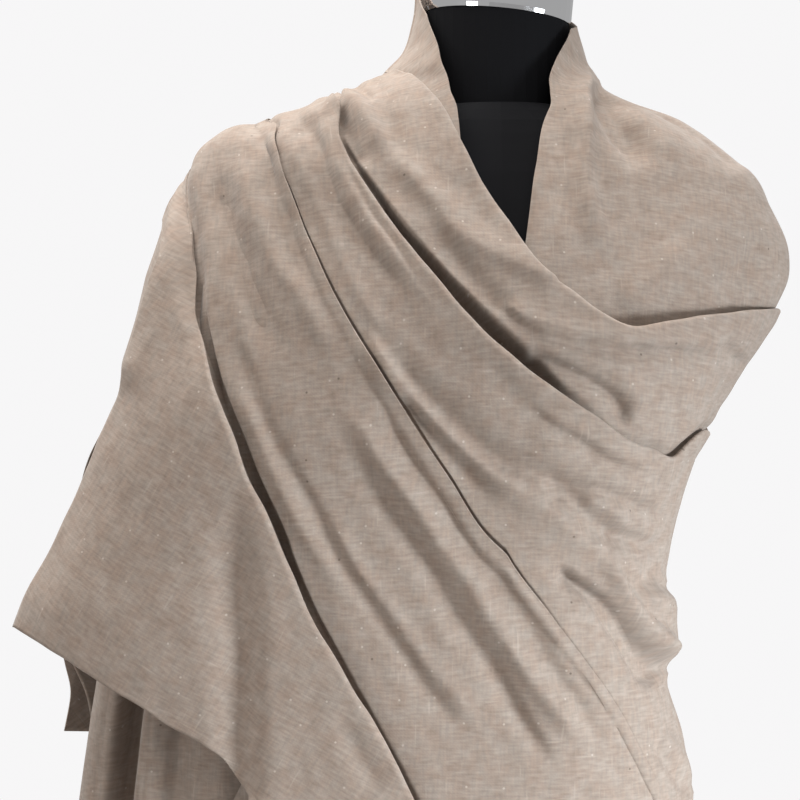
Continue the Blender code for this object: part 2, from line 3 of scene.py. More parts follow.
import bmesh
import bpy
import numpy as np
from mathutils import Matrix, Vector


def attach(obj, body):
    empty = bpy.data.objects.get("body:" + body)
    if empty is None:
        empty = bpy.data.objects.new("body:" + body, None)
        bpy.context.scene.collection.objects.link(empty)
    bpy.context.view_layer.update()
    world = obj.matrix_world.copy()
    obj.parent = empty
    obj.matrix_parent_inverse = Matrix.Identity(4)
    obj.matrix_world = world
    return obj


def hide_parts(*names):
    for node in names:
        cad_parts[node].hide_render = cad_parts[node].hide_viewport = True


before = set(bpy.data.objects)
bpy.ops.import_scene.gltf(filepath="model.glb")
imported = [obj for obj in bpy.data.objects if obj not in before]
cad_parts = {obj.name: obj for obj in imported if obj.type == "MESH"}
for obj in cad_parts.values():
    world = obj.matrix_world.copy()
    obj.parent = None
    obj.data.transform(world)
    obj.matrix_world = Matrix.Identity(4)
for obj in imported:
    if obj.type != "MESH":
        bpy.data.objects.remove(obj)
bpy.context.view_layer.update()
print("frame loaded:", len(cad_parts), "nodes")

# Metres, +Z up, the wrap faces -Y. Places in tables are millimetres, lifts too.
mm = 0.001
ridgeTurn = 90.0     # degrees round from the front, of both shoulder ridges
hemZ = 735.0         # lower edge of the wound cloth
wallMm = 0.9         # thickness of the cloth shells

# Front outlines and creases are (x, z) on the plane y = 0, seen from the camera's place.
view = {
    "eye": (-0.076, -1.730, 1.175),
    "lensMm": 100.0,
    "frameWidth": 0.6240,        # metres of the plane y = 0 from side to side of the frame
}

# The surface that all the cloth lies on, in mm: height, how far it reaches from the Z axis to
# -X, to +X, to the front and to the back, and how square its corners are.
guideRings = (
    (720, 345.0, 163.0, 131, 125, 2.2), (780, 345.0, 159.0, 129, 122, 2.2),
    (860, 345.0, 147.0, 125, 116, 2.2), (940, 352.0, 131.0, 122, 109, 2.2),
    (980, 368.0, 121.0, 123, 107, 2.2), (1010, 364.0, 118.5, 125, 106, 2.2),
    (1050, 345.0, 125.0, 128, 106, 2.2), (1090, 325.0, 134.5, 133, 108, 2.2),
    (1130, 307.0, 146.0, 138, 111, 2.2), (1170, 289.0, 167.0, 141, 114, 2.2),
    (1205, 275.0, 188.0, 140, 116, 2.2), (1240, 263.0, 211.0, 135, 117, 2.3),
    (1270, 254.5, 223.5, 127, 116, 2.4), (1300, 249.0, 222.5, 117, 114, 2.4),
    (1325, 241.0, 211.5, 108, 111, 2.4), (1350, 230.0, 197.0, 99, 107, 2.4),
    (1372, 210.0, 173.0, 90, 102, 2.3), (1385, 181.0, 156.0, 84, 98, 2.2),
    (1395, 148.0, 139.0, 79, 94, 2.1), (1405, 124.0, 110.0, 75, 90, 2.0),
    (1415, 100.0, 88.0, 71, 85, 2.0), (1430, 86.0, 74.0, 67, 78, 2.0),
    (1445, 73.0, 68.0, 64, 72, 2.0), (1465, 66.0, 62.0, 62, 68, 2.0),
    (1490, 63.0, 60.0, 61, 66, 2.0), (1520, 62.0, 60.0, 60, 66, 2.0),
)


def smoothRows(keys, rows):
    # a smooth curve through rows of numbers, read at any key
    keys = np.asarray(keys, float)
    rows = np.asarray(rows, float).reshape(len(keys), -1)
    spans = np.diff(keys)
    steps = np.diff(rows, axis=0) / spans[:, None]
    slopes = np.empty_like(rows)
    slopes[0], slopes[-1] = steps[0], steps[-1]
    near, far = spans[:-1, None], spans[1:, None]
    slopes[1:-1] = (steps[:-1] * far + steps[1:] * near) / (near + far)

    def at(key):
        key = np.asarray(key, float)
        index = np.clip(np.searchsorted(keys, key) - 1, 0, len(keys) - 2)
        span = spans[index][..., None]
        t = np.clip((key - keys[index]) / spans[index], 0.0, 1.0)[..., None]
        return ((2 * t**3 - 3 * t**2 + 1) * rows[index] + span * (t**3 - 2 * t**2 + t) * slopes[index]
                + (3 * t**2 - 2 * t**3) * rows[index + 1] + span * (t**3 - t**2) * slopes[index + 1])

    return at


def smoothTable(rows):
    # the same through a table whose first column is the key
    return smoothRows([row[0] for row in rows], [row[1:] for row in rows])


def columnsOf(table, keys):
    # each column of a table but the key, read at the keys
    return np.moveaxis(smoothTable(table)(keys), -1, 0)


def ease(value, start, end):
    # 0 before the start, 1 beyond the end, which may be the lower of the two
    share = np.clip((value - start) / (end - start), 0.0, 1.0)
    return share * share * (3.0 - 2.0 * share)


def belowHeight(z, amount, height, fade):
    # an amount that holds below a height, faded in over a length
    return amount * ease(height - z, 0.0, fade)


def mix(low, high, share):
    return low + (high - low) * share


def unit(vectors):
    return vectors / np.maximum(np.linalg.norm(vectors, axis=-1, keepdims=True), 1e-12)


def readGrid(values, column, row):
    # between the four nearest values of a grid
    i, j = column.astype(int), row.astype(int)
    low = mix(values[i, j], values[i + 1, j], column - i)
    high = mix(values[i, j + 1], values[i + 1, j + 1], column - i)
    return mix(low, high, row - j)


guideAt = smoothRows([ring[0] * mm for ring in guideRings],
                     [[*(reach * mm for reach in ring[1:5]), ring[5]] for ring in guideRings])


def guidePoint(turn, z):
    # turn is in degrees from the front towards +X, z in metres
    turn, z = np.broadcast_arrays(np.asarray(turn, float), np.asarray(z, float))
    minusX, plusX, front, back, square = np.moveaxis(guideAt(z), -1, 0)
    across, along = np.sin(np.radians(turn)), np.cos(np.radians(turn))
    reach = (np.abs(across) ** square + np.abs(along) ** square) ** (-1.0 / square)
    side = np.where(across >= 0, plusX, minusX)
    depth = np.where(along >= 0, front, back)
    return np.stack((side * reach * across, -depth * reach * along, z), axis=-1)


def guideNormal(turn, z):
    turn, z = np.broadcast_arrays(np.asarray(turn, float), np.asarray(z, float))
    roundWay = guidePoint(turn + 0.5, z) - guidePoint(turn - 0.5, z)
    upWay = guidePoint(turn, z + mm) - guidePoint(turn, z - mm)
    return unit(np.cross(roundWay, upWay))


def onCloth(turn, z, liftMm):
    return guidePoint(turn, z) + guideNormal(turn, z) * (np.asarray(liftMm) * mm)[..., None]


def reachesAt(points):
    # how far the guide reaches to the side and forwards or back, beside each point
    minusX, plusX, front, back, square = np.moveaxis(guideAt(points[..., 2]), -1, 0)
    side = np.where(points[..., 0] >= 0, plusX, minusX)
    return side, np.where(points[..., 1] <= 0, front, back), square


def turnOf(points):
    side, depth, _ = reachesAt(points)
    return np.degrees(np.arctan2(points[..., 0] / side, -points[..., 1] / depth))


def offGuide(points):
    # height above the guide, and the foot below each point
    def level(at):
        side, depth, square = reachesAt(at)
        across, along = np.abs(at[..., 0] / side) ** square, np.abs(at[..., 1] / depth) ** square
        return (across + along) ** (1.0 / square)

    slope = np.stack([(level(points + axis) - level(points - axis)) / (2 * mm)
                      for axis in np.eye(3) * mm], axis=-1)
    height = (level(points) - 1.0) / np.linalg.norm(slope, axis=-1)
    return height, points - unit(slope) * height[..., None]


eye = np.array(view["eye"])
sightShares = np.linspace(0.88, 1.01, 66)      # of a line of sight to y = 0, where the cloth may lie
topHeights = np.linspace(1.28, 1.52, 961)      # where the upper side of the guide may lie


def seenToRound(seen, liftMm):
    # carries outline points (mm, as seen) along the line of sight to the lifted guide;
    # the lift is one number or a column of them
    seen = np.asarray(seen, float) * mm
    ray = np.stack((seen[:, 0], np.zeros(len(seen)), seen[:, 1]), axis=-1) - eye
    shares = sightShares
    heights = offGuide(eye + ray[:, None, :] * shares[None, :, None])[0] - liftMm * mm
    rows = np.arange(len(seen))
    hit = np.argmax(heights <= 0, axis=1)
    before = np.maximum(hit - 1, 0)
    above, below = heights[rows, before], heights[rows, hit]
    share = mix(shares[before], shares[hit], above / np.where(hit > 0, above - below, 1.0))
    share = np.where(hit > 0, share, shares[np.argmin(heights, axis=1)])
    foot = offGuide(eye + ray * share[:, None])[1]
    return np.stack((turnOf(foot), foot[:, 2]), axis=-1)


def seenPlace(points):
    # where the camera's place sees each point, as (x, z) in mm on the plane y = 0
    share = eye[1] / (eye[1] - points[..., 1])
    at = eye + (points - eye) * share[..., None]
    return at[..., 0] / mm, at[..., 2] / mm


degreeLength = 0.003     # metres of route for a degree of turn
liftGain = 2.0           # mm that an edge gains from each stop to the next, in front of the ridge


def routeThrough(stops, ridgeIndex=0):
    # a smooth route over the guide: -1 at its first stop, 0 at the ridge, 1 at its last
    stops = np.asarray(stops, float)
    steps = np.hypot(np.diff(stops[:, 0]) * degreeLength, np.diff(stops[:, 1]))
    reached = np.concatenate(([0.0], np.cumsum(steps)))
    middle = reached[ridgeIndex]
    keys = np.where(reached < middle, (reached - middle) / max(middle, 1e-9),
                    (reached - middle) / (reached[-1] - middle))
    return smoothRows(keys, stops)


def rounds(*stops):
    return [(turn, z * mm) for turn, z in stops]


# ---- outlines of the wrap: behind (turn, z) from its hem up, over the ridge (x, y), in front
# (x, z) as seen, and out of sight at +X (turn, z)
wrapLines = {
    "neck": {
        "lift": 14, "ridgeLift": 6,
        "behind": ((-160, 850), (-160, 1000), (-158, 1200), (-152, 1340), (-140, 1395), (-112, 1424)),
        "over": ((-85, 0),),
        "seen": ((-67, 1426), (-56, 1415), (-40, 1394), (-28, 1370), (-16, 1344), (2, 1317), (20, 1292),
                 (37, 1271), (55, 1257), (76, 1241), (104, 1230), (131, 1233), (173, 1239), (207, 1242)),
        "tail": ((92, 1243), (108, 1240), (126, 1242)),
    },
    "deep": {
        "lift": 18, "ridgeLift": 12,
        "behind": ((-145, 868), (-143, 1010), (-139, 1170), (-134, 1295), (-126, 1362), (-110, 1392)),
        "over": ((-128, 0),),
        "seen": ((-130, 1409), (-130, 1403), (-129, 1394), (-127, 1384), (-121, 1371), (-112, 1353),
                 (-90, 1320), (-57, 1278), (-27, 1243), (6, 1209), (28, 1192), (54, 1173), (76, 1160),
                 (102, 1142), (123, 1133), (147, 1128), (156, 1136)),
        "tail": ((88, 1152), (108, 1160), (126, 1163)),
    },
    "thin": {
        "lift": 8, "ridgeLift": 8,
        "behind": ((-136, 885), (-133, 1000), (-128, 1120), (-124, 1235), (-117, 1325), (-104, 1368)),
        "over": ((-178, 0), (-176, -30)),
        "seen": ((-175, 1384), (-172, 1371), (-164, 1344), (-148.5, 1302), (-129.5, 1261), (-112, 1229),
                 (-92, 1198), (-69.5, 1161), (-38.5, 1114), (2.5, 1058), (44, 1004), (68, 973), (96, 934),
                 (120, 890)),
        "tail": ((80, hemZ),),
    },
    "throw": {
        "lift": 18, "ridgeLift": 4,
        "behind": ((-122, 905), (-118, 990), (-112, 1100), (-107, 1215), (-102, 1295), (-96, 1335)),
        "over": ((-229, 0),),
        "seen": ((-242, 1327), (-242, 1307), (-241, 1280), (-239, 1245), (-233, 1220), (-227, 1196),
                 (-210, 1146), (-190, 1095), (-178, 1070), (-156, 1019), (-128, 968), (-98, 916),
                 (-69, 863), (-35, 783), (-20, hemZ)),
        "tail": (),
    },
    "selvedge": {
        "lift": 18, "ridgeLift": 15,
        "behind": ((-108, 911), (-114, 962), (-115, 1005), (-106, 1070), (-84, 1150), (-68, 1205),
                   (-63, 1260), (-70, 1292)),
        "over": ((-245, -20),),
        "seen": ((-260, 1286), (-266, 1268), (-280, 1221), (-297, 1175), (-312, 1142), (-332, 1096),
                 (-354, 1050), (-378, 998)),
        "tail": (),
    },
}


def overTop(places):
    # (turn, z) of places given as (x, y) in mm on the upper side of the guide
    minusX, plusX, front, back, square = np.moveaxis(guideAt(topHeights), -1, 0)
    stops = []
    for x, y in np.asarray(places, float) * mm:
        side = plusX if x > 0 else minusX
        depth = back if y > 0 else front
        level = (abs(x) / side) ** square + (abs(y) / depth) ** square
        z = np.interp(1.0, level, topHeights)
        at = [np.interp(z, topHeights, values) for values in (side, depth)]
        stops.append((math.degrees(math.atan2(x / at[0], -y / at[1])), z))
    return stops


def wrapRoute(name, seenCount=None, tail=None):
    line = wrapLines[name]
    seen = line["seen"][:seenCount]
    lifts = np.minimum(line["lift"], line["ridgeLift"] + liftGain * np.arange(len(seen)))
    front = seenToRound(seen, lifts[:, None])
    stops = [*rounds(*line["behind"]), *overTop(line["over"]), *front,
             *rounds(*(line["tail"] if tail is None else tail))]
    return routeThrough(stops, ridgeIndex=len(line["behind"]))


# ---- how high the layers laid so far stand off the guide, in mm, over turn and z
stack = {"turn": (-200.0, 0.5, 701), "z": (0.70, 0.001, 841)}    # first, step, count
# how far the form lies inside the guide, and over which heights and turns each holds
bare = {
    "sideMm": -4.0, "chestMm": -11.0, "waistMm": -15.0,
    "waistBelow": (1.26, 1.14), "frontWithin": (70.0, 55.0), "frontAbove": (1.00, 1.05),
}
laidTurn = (stack["turn"][0] + stack["turn"][1] * np.arange(stack["turn"][2]))[:, None]
laidZ = (stack["z"][0] + stack["z"][1] * np.arange(stack["z"][2]))[None, :]
frontMm = mix(bare["chestMm"], bare["waistMm"], ease(laidZ, *bare["waistBelow"]))
frontShare = ease(abs(laidTurn), *bare["frontWithin"]) * ease(laidZ, *bare["frontAbove"])
laid = mix(bare["sideMm"], frontMm, frontShare)


layFiner = 4         # times finer than the sheet's own grid, so that it misses no place
layWiden = 2         # places by which its edge is moved out
layBlur = 3          # times that it is evened out with its neighbours
restSoftMm = 1.0     # how gently a sheet bends where it comes to rest


def finer(values, factor):
    # more rows and columns between those of a grid
    for axis in (0, 1):
        values = np.moveaxis(values, axis, 0)
        steps = np.linspace(0, len(values) - 1, (len(values) - 1) * factor + 1)
        low = np.minimum(steps.astype(int), len(values) - 2)
        values = np.moveaxis(mix(values[low], values[low + 1], (steps - low)[:, None]), 0, axis)
    return values


def neighbours(values):
    padded = np.pad(values, 1, mode="edge")
    columns, rows = values.shape
    return [padded[i:i + columns, j:j + rows] for i in range(3) for j in range(3)]


def layDown(turn, z, lift):
    # notes how high a sheet stands, so that the next one rests on it
    turn, z, lift = (finer(values, layFiner) for values in np.broadcast_arrays(turn, z, lift))
    column = np.rint((turn - stack["turn"][0]) / stack["turn"][1]).astype(int)
    row = np.rint((z - stack["z"][0]) / stack["z"][1]).astype(int)
    inside = (column >= 0) & (column < laid.shape[0]) & (row >= 0) & (row < laid.shape[1])
    fresh = laid.copy()
    np.maximum.at(fresh, (column[inside], row[inside]), lift[inside])
    for _ in range(layWiden):
        fresh = np.max(neighbours(fresh), axis=0)
    for _ in range(layBlur):
        fresh = np.mean(neighbours(fresh), axis=0)
    np.maximum(laid, fresh, out=laid)


def standing(turn, z):
    # how high the layers stand at each place
    column = np.clip((turn - stack["turn"][0]) / stack["turn"][1], 0, laid.shape[0] - 1.001)
    row = np.clip((z - stack["z"][0]) / stack["z"][1], 0, laid.shape[1] - 1.001)
    return readGrid(laid, column, row)


def restOn(lift, turn, z, clear):
    # lifts a sheet clear of the layers below wherever it would sink into them
    floor = standing(turn, z) + clear
    gap = lift - floor
    return floor + 0.5 * (gap + np.sqrt(gap * gap + restSoftMm ** 2))


# ---- creases and unevenness
def nearPath(path, x, z, pathPoints=40):
    # distance to a path, its sign (above or right of it is +), and how far along it
    path = np.asarray(path, float)
    reached = np.concatenate(([0.0], np.cumsum(np.hypot(*np.diff(path, axis=0).T))))
    fine = smoothRows(reached, path)(np.linspace(0.0, reached[-1], pathPoints))
    lengths = np.hypot(*np.diff(fine, axis=0).T)
    starts = np.concatenate(([0.0], np.cumsum(lengths)))
    best = np.full(x.shape, 1e9)
    side, along = np.zeros(x.shape), np.zeros(x.shape)
    for (ax, az), (bx, bz), length, start in zip(fine, fine[1:], lengths, starts):
        dx, dz = (bx - ax) / length, (bz - az) / length
        share = np.clip((x - ax) * dx + (z - az) * dz, 0.0, length)
        offX, offZ = x - ax - share * dx, z - az - share * dz
        distance = np.hypot(offX, offZ)
        nearer = distance < best
        best = np.where(nearer, distance, best)
        side = np.where(nearer, offZ * dx - offX * dz, side)
        along = np.where(nearer, start + share, along)
    return best, side, along, starts[-1]


def pressCreases(creases, x, z):
    # each crease: path, lift (+ ridge, - trough), width above and below the path, fades
    total = np.zeros(x.shape)
    for crease in creases:
        path, lift, above, below, fadeIn, fadeOut = crease
        margin = 3 * max(above, below)
        low, high = np.min(path, axis=0) - margin, np.max(path, axis=0) + margin
        near = (x > low[0]) & (x < high[0]) & (z > low[1]) & (z < high[1])
        if not near.any():
            continue
        distance, side, along, length = nearPath(path, x[near], z[near])
        width = np.where(side > 0, above, below)
        strength = ease(along, 0.0, max(fadeIn, 0.1)) * ease(length - along, 0.0, max(fadeOut, 0.1))
        total[near] += lift * np.exp(-(distance / width) ** 2) * strength
    return total


def uneven(points, size, seed, waves=8):
    # smooth unevenness of about 1 either way, from a few crossed waves
    draw = np.random.default_rng(seed)
    total = np.zeros(points.shape[:-1])
    for _ in range(waves):
        way = unit(draw.normal(size=3))
        wave = size * draw.uniform(0.7, 1.7)
        total += np.sin(points @ way * (2 * math.pi / wave) + draw.uniform(0, 2 * math.pi))
    return total / math.sqrt(waves)


creaseTurns = {"minusX": (-106.0, -95.0), "plusX": (112.0, 98.0)}    # where those of the front begin
roughSizes = (0.075, 0.026)      # metres, of two sorts of unevenness


def creasedLift(piece, turn, z, lift):
    # what the piece's creases and a slight unevenness add to its lift off the guide
    base = onCloth(turn, z, lift)
    x, seenZ = seenPlace(base)
    front = ease(turn, *creaseTurns["minusX"]) * ease(turn, *creaseTurns["plusX"])
    total = pressCreases(piece.get("creases", ()), x, seenZ) * front
    total += pressCreases(piece.get("behind", ()), base[..., 0] / mm, base[..., 2] / mm) * (1.0 - front)
    for seed, (rough, size) in enumerate(zip(piece.get("rough", (1.0, 0.3)), roughSizes)):
        total += rough * uneven(base, size, piece["seed"] + seed)
    return total


# ---- grids
def rollEdge(points, radius, tail, steps=9, tailSteps=3):
    # turns the last row of a grid under: a half circle, then a flat tail
    edge = points[:, -1]
    roundWay = unit(np.gradient(edge, axis=0))
    onward = points[:, -1] - points[:, -3]
    onward = unit(onward - roundWay * np.sum(onward * roundWay, axis=-1, keepdims=True))
    inward = unit(np.cross(onward, roundWay))
    radius = np.asarray(radius)[:, None]
    rows = [points]
    for step in range(1, steps + 1):
        angle = math.pi * step / steps
        rows.append((edge + onward * radius * math.sin(angle)
                     + inward * radius * (1.0 - math.cos(angle)))[:, None])
    pitch = np.linalg.norm(points[:, -1] - points[:, -4], axis=-1).mean() / 3.0
    for step in range(1, tailSteps + 1):
        back = 1 + max(1, round(tail * step / tailSteps / pitch))
        rows.append((points[:, -back] + inward * 2.0 * radius)[:, None])
    return np.concatenate(rows, axis=1)


threadNetStep = (2.0, 0.01)     # degrees and metres between measured places
threadTurns = np.arange(-220.0, 301.0, threadNetStep[0])
threadHeights = np.arange(0.70, 1.55, threadNetStep[1])
threadNet = guidePoint(threadTurns[:, None], threadHeights[None, :])
roundSteps = np.diff(threadNet, axis=0, prepend=threadNet[:1])
roundLengths = np.cumsum(np.linalg.norm(roundSteps, axis=-1), axis=0)
roundLengths -= roundLengths[np.argmin(abs(threadTurns))]
upSteps = np.diff(threadNet, axis=1, prepend=threadNet[:, :1])
upLengths = np.cumsum(np.linalg.norm(upSteps, axis=-1), axis=1)


def weavePlaces(points, turnDegrees):
    # threads' own coordinates in metres: lengths round the guide and up it, turned by an angle
    foot = offGuide(points)[1]
    turn = np.unwrap(turnOf(foot), axis=0, period=360.0)
    column = np.clip((turn - threadTurns[0]) / threadNetStep[0], 0, len(threadTurns) - 1.001)
    row = np.clip((foot[..., 2] - threadHeights[0]) / threadNetStep[1], 0, len(threadHeights) - 1.001)
    u, v = (readGrid(lengths, column, row) for lengths in (roundLengths, upLengths))
    angle = math.radians(turnDegrees)
    return np.stack((u * math.cos(angle) - v * math.sin(angle),
                     u * math.sin(angle) + v * math.cos(angle)), axis=-1)


def putObject(name, data):
    made = bpy.data.objects.new(name, data)
    bpy.context.scene.collection.objects.link(made)
    return made


joinMm = 0.02      # how near the points of two grids are made one


def clothPiece(name, grids, weaveTurn=0.0, joined=False):
    # one cloth shell from one or more grids of points
    corners, faces, weave, start = [], [], [], 0
    for points in grids:
        columns, rows = points.shape[:2]
        index = start + np.arange(columns * rows).reshape(columns, rows)
        quads = np.stack((index[:-1, :-1], index[1:, :-1], index[1:, 1:], index[:-1, 1:]), axis=-1)
        faces.append(quads.reshape(-1, 4))
        corners.append(points.reshape(-1, 3))
        weave.append(weavePlaces(points, weaveTurn).reshape(-1, 2))
        start += columns * rows
    corners, faces, weave = np.concatenate(corners), np.concatenate(faces), np.concatenate(weave)
    mesh = bpy.data.meshes.new(name)
    mesh.from_pydata(corners.tolist(), [], faces.tolist())
    layer = mesh.uv_layers.new(name="weave")
    layer.uv.foreach_set("vector", weave[faces.ravel()].astype(np.float32).ravel())
    if joined:
        work = bmesh.new()
        work.from_mesh(mesh)
        bmesh.ops.remove_doubles(work, verts=work.verts, dist=joinMm * mm)
        work.to_mesh(mesh)
        work.free()
    mesh.polygons.foreach_set("use_smooth", [True] * len(mesh.polygons))
    piece = putObject(name, mesh)
    wall = piece.modifiers.new("wall", "SOLIDIFY")
    wall.thickness = wallMm * mm
    wall.offset = -1.0
    return piece


edges = {
    "pressedMm": 10.0,              # how far from the edge of a sheet it is pressed on
    "pressStart": (-0.20, -0.08),   # u over which that begins, behind the ridge
    "flushShare": 0.75,             # how firmly, where it lies flat again later on
    "never": (2.0, 3.0),            # u that no route reaches
    "spareMm": 0.5,                 # room under a sheet besides its own wall
    "rollReach": (0.040, 0.030),    # metres from the edge where the roll's room ends, and its fade
    "pressedRoomMm": 2.6,           # how much less room it has where it is pressed on
    "rollUneven": (0.2, 0.05),      # share of the roll's radius, size in metres
}


def pressedOn(u, fromEdge, until=0.20, over=0.10, flush=edges["never"]):
    # over the ridge, and on to a place in front, the edge of a sheet is pressed on;
    # later on it may be so again
    share = np.maximum(ease(u, *edges["pressStart"]) * ease(u, until, until - over),
                       edges["flushShare"] * ease(u, *flush))
    return share[:, None] * np.exp(-(fromEdge / mm / edges["pressedMm"]) ** 2)


def edgeRoom(roll, fromEdge, pressed):
    # room under a sheet: its own wall, and near a rolled edge the roll as well
    reach, fade = edges["rollReach"]
    rolled = 2.0 * roll[:, None] * ease(reach - fromEdge, 0.0, fade)
    return wallMm + edges["spareMm"] + rolled - edges["pressedRoomMm"] * pressed


def sheetWidth(start, end, u):
    span = onCloth(end[:, 0], end[:, 1], 0 * u) - onCloth(start[:, 0], start[:, 1], 0 * u)
    return np.linalg.norm(span, axis=-1)


def routeSteps(columns, start=-1.0):
    # shares of a route: from its start to the ridge, and on to its end
    behind, front = columns
    return np.concatenate((np.linspace(start, 0.0, behind + 1), np.linspace(0.0, 1.0, front + 1)[1:]))


def withRoll(points, roll, seed, tail):
    share, size = edges["rollUneven"]
    radius = roll * mm * (1.0 + share * np.clip(uneven(points[:, -1], size, seed), -1, 1))
    return rollEdge(points, radius, tail)


bands = {
    "fineStretch": (-0.003, 0.020),     # beside the lower line, where most rows lie
    "fineRows": (0.15, 0.42),           # shares of the rows at which that stretch begins and ends
    "riseCurve": 1.3,                   # how late it rises to its upper edge
    "goesUnder": (-0.022, -0.002),      # where it slips under the band over its lower line
    "underDropMm": 2.5,
    "tuckedMm": 0.3,                    # room over the layers below, where it has slipped under
    "tuckedShare": 0.3,                 # of the part under the next band, where the tuck ends
    "pressMm": 9.0,
    "tail": 0.008,                      # metres of cloth flat under the rolled edge
}


def bandGrid(piece, lower, upper):
    # a wrapped band between two routes: it goes on under the next one, its upper edge is rolled
    u = routeSteps(piece["columns"])
    low, high, roll, under = columnsOf(piece["lifts"], u)
    bottom, top = lower(u), upper(u)
    width = sheetWidth(bottom, top, u)
    start = (-under * mm / width)[:, None]
    # most rows lie close beside the line of the band over it
    row = np.linspace(0.0, 1.0, piece["rows"])[None, :]
    near, far = (side / width[:, None] for side in bands["fineStretch"])
    first, last = bands["fineRows"]
    share = np.where(row < first, mix(start, near, row / first),
                     np.where(row < last, mix(near, far, (row - first) / (last - first)),
                              mix(far, 1.0, (row - last) / (1.0 - last))))
    rise = 1.0 - (1.0 - share) * (width / np.minimum(width, piece["rise"] * mm))[:, None]
    lift = mix(low[:, None], high[:, None], np.clip(rise, 0.0, 1.0) ** bands["riseCurve"])
    turn = mix(bottom[:, :1], top[:, :1], share)
    z = mix(bottom[:, 1:], top[:, 1:], share)
    fromLower = share * width[:, None]
    shown = ease(fromLower, *bands["goesUnder"])
    deep, wide, steep = columnsOf(piece["groove"], u[:, None])
    lift = lift + creasedLift(piece, turn, z, lift) * shown - bands["underDropMm"] * (1.0 - shown)
    lift = lift - deep * np.exp(-(abs(fromLower) / mm / wide) ** steep)
    fromEdge = (1.0 - share) * width[:, None]
    pressed = pressedOn(u, fromEdge, flush=piece.get("flush", edges["never"]))
    lift = restOn(lift - bands["pressMm"] * pressed, turn, z, edgeRoom(roll, fromEdge, pressed))
    tucked = standing(turn, z) + wallMm + bands["tuckedMm"]
    tuckEnd = -bands["tuckedShare"] * under[:, None] * mm
    lift = mix(tucked, lift, ease(fromLower, -under[:, None] * mm, tuckEnd))
    layDown(turn, z, lift)
    return withRoll(onCloth(turn, z, lift), roll, piece["seed"] + 2, bands["tail"])


# ---- the wrap: three bands across the chest that run on over the shoulder and down behind
upperBand = {
    "name": "wrapUpper", "seed": 11, "columns": (110, 180), "rows": 84, "rise": 90,
    # u, how deep it dips beside the band over it, how wide that is, how steep its far side
    "groove": ((-1, 0, 8, 2), (-0.1, 1, 8, 2), (0, 2, 8, 2), (0.15, 3, 8, 2), (0.24, 5, 8, 2.5),
               (0.265, 12, 8.5, 4), (0.29, 26, 9, 5), (0.36, 28, 9.5, 5), (0.40, 28, 11.5, 5),
               (0.44, 28, 13.5, 5), (0.485, 28, 14.5, 4), (0.512, 22, 13, 3.5), (0.54, 13, 10, 3),
               (0.57, 7, 9, 2), (0.68, 4, 8, 2), (0.80, 3, 8, 2), (1, 1, 8, 2)),
    # u, lift at the bottom, at the rolled edge, radius of the roll, how far it goes on under
    "lifts": ((-1, 3, 3, 0.8, 14), (-0.5, 3, 5, 2.0, 14), (-0.15, 6, 3, 0.8, 12), (0, 9, 1.5, 0.2, 12),
              (0.05, 9, 2.5, 0.4, 14), (0.15, 9, 7, 1.6, 20), (0.25, 13, 11, 2.4, 28),
              (0.40, 14, 17, 3.2, 28), (0.58, 13, 21, 3.4, 28), (0.70, 8, 12, 2.2, 28),
              (0.78, 6, 7, 1.2, 28), (0.88, 4, 4, 0.8, 28), (1, 3, 3, 0.6, 28)),
    "creases": (
        # path, lift, width above, width below, fade in, fade out
        (((-87, 1378), (-68, 1350), (-47, 1327), (-36, 1310), (-9, 1292), (28, 1276), (49, 1265)),
          6.0, 12, 8, 40, 10),
        (((-52, 1312), (-36, 1291), (-20, 1271), (-4, 1256), (12, 1244)), -6.0, 8, 10, 20, 15),
        (((-33, 1359), (-15, 1323), (6, 1301)), -2.0, 9, 9, 20, 20),
        (((2, 1248), (23, 1231), (48, 1222), (75, 1217), (105, 1214), (140, 1213), (166, 1210)),
          -5.0, 3, 9, 12, 14),
        (((2, 1254), (23, 1239), (48, 1231), (75, 1226), (105, 1222), (140, 1221), (160, 1219)),
          3.0, 8, 4, 14, 14),
        (((23, 1214), (62, 1196), (83, 1185), (97, 1173), (101, 1163), (98, 1152)), -9.0, 4, 12, 10, 12),
        (((23, 1226), (62, 1210), (90, 1198), (108, 1180), (113, 1163)), 3.0, 9, 5, 16, 16),
        (((160, 1221), (174, 1221)), 3.0, 6, 6, 3, 3),
        (((177, 1220), (186, 1208), (193, 1200)), -4.0, 4, 6, 4, 8),
        (((-127, 1400), (-117, 1384), (-112, 1370), (-104, 1356)), -6.0, 8, 5, 4, 12),
        (((-125, 1415), (-115, 1419), (-103, 1415), (-96, 1408)), -4.0, 4, 4, 4, 6),
        (((-121, 1413), (-112, 1408), (-102, 1396), (-87, 1362)), 6.0, 7, 8, 2, 25),
        (((-96, 1425), (-89, 1408), (-80, 1385), (-70, 1360)), -2.0, 8, 8, 2, 20),
    ),
    "behind": (
        (((-128, 1390), (-134, 1300), (-140, 1150), (-148, 1000), (-152, 860)), -4.0, 8, 7, 30, 5),
        (((-112, 1385), (-118, 1250), (-124, 1100), (-126, 950)), 3.0, 8, 9, 40, 60),
    ),
}
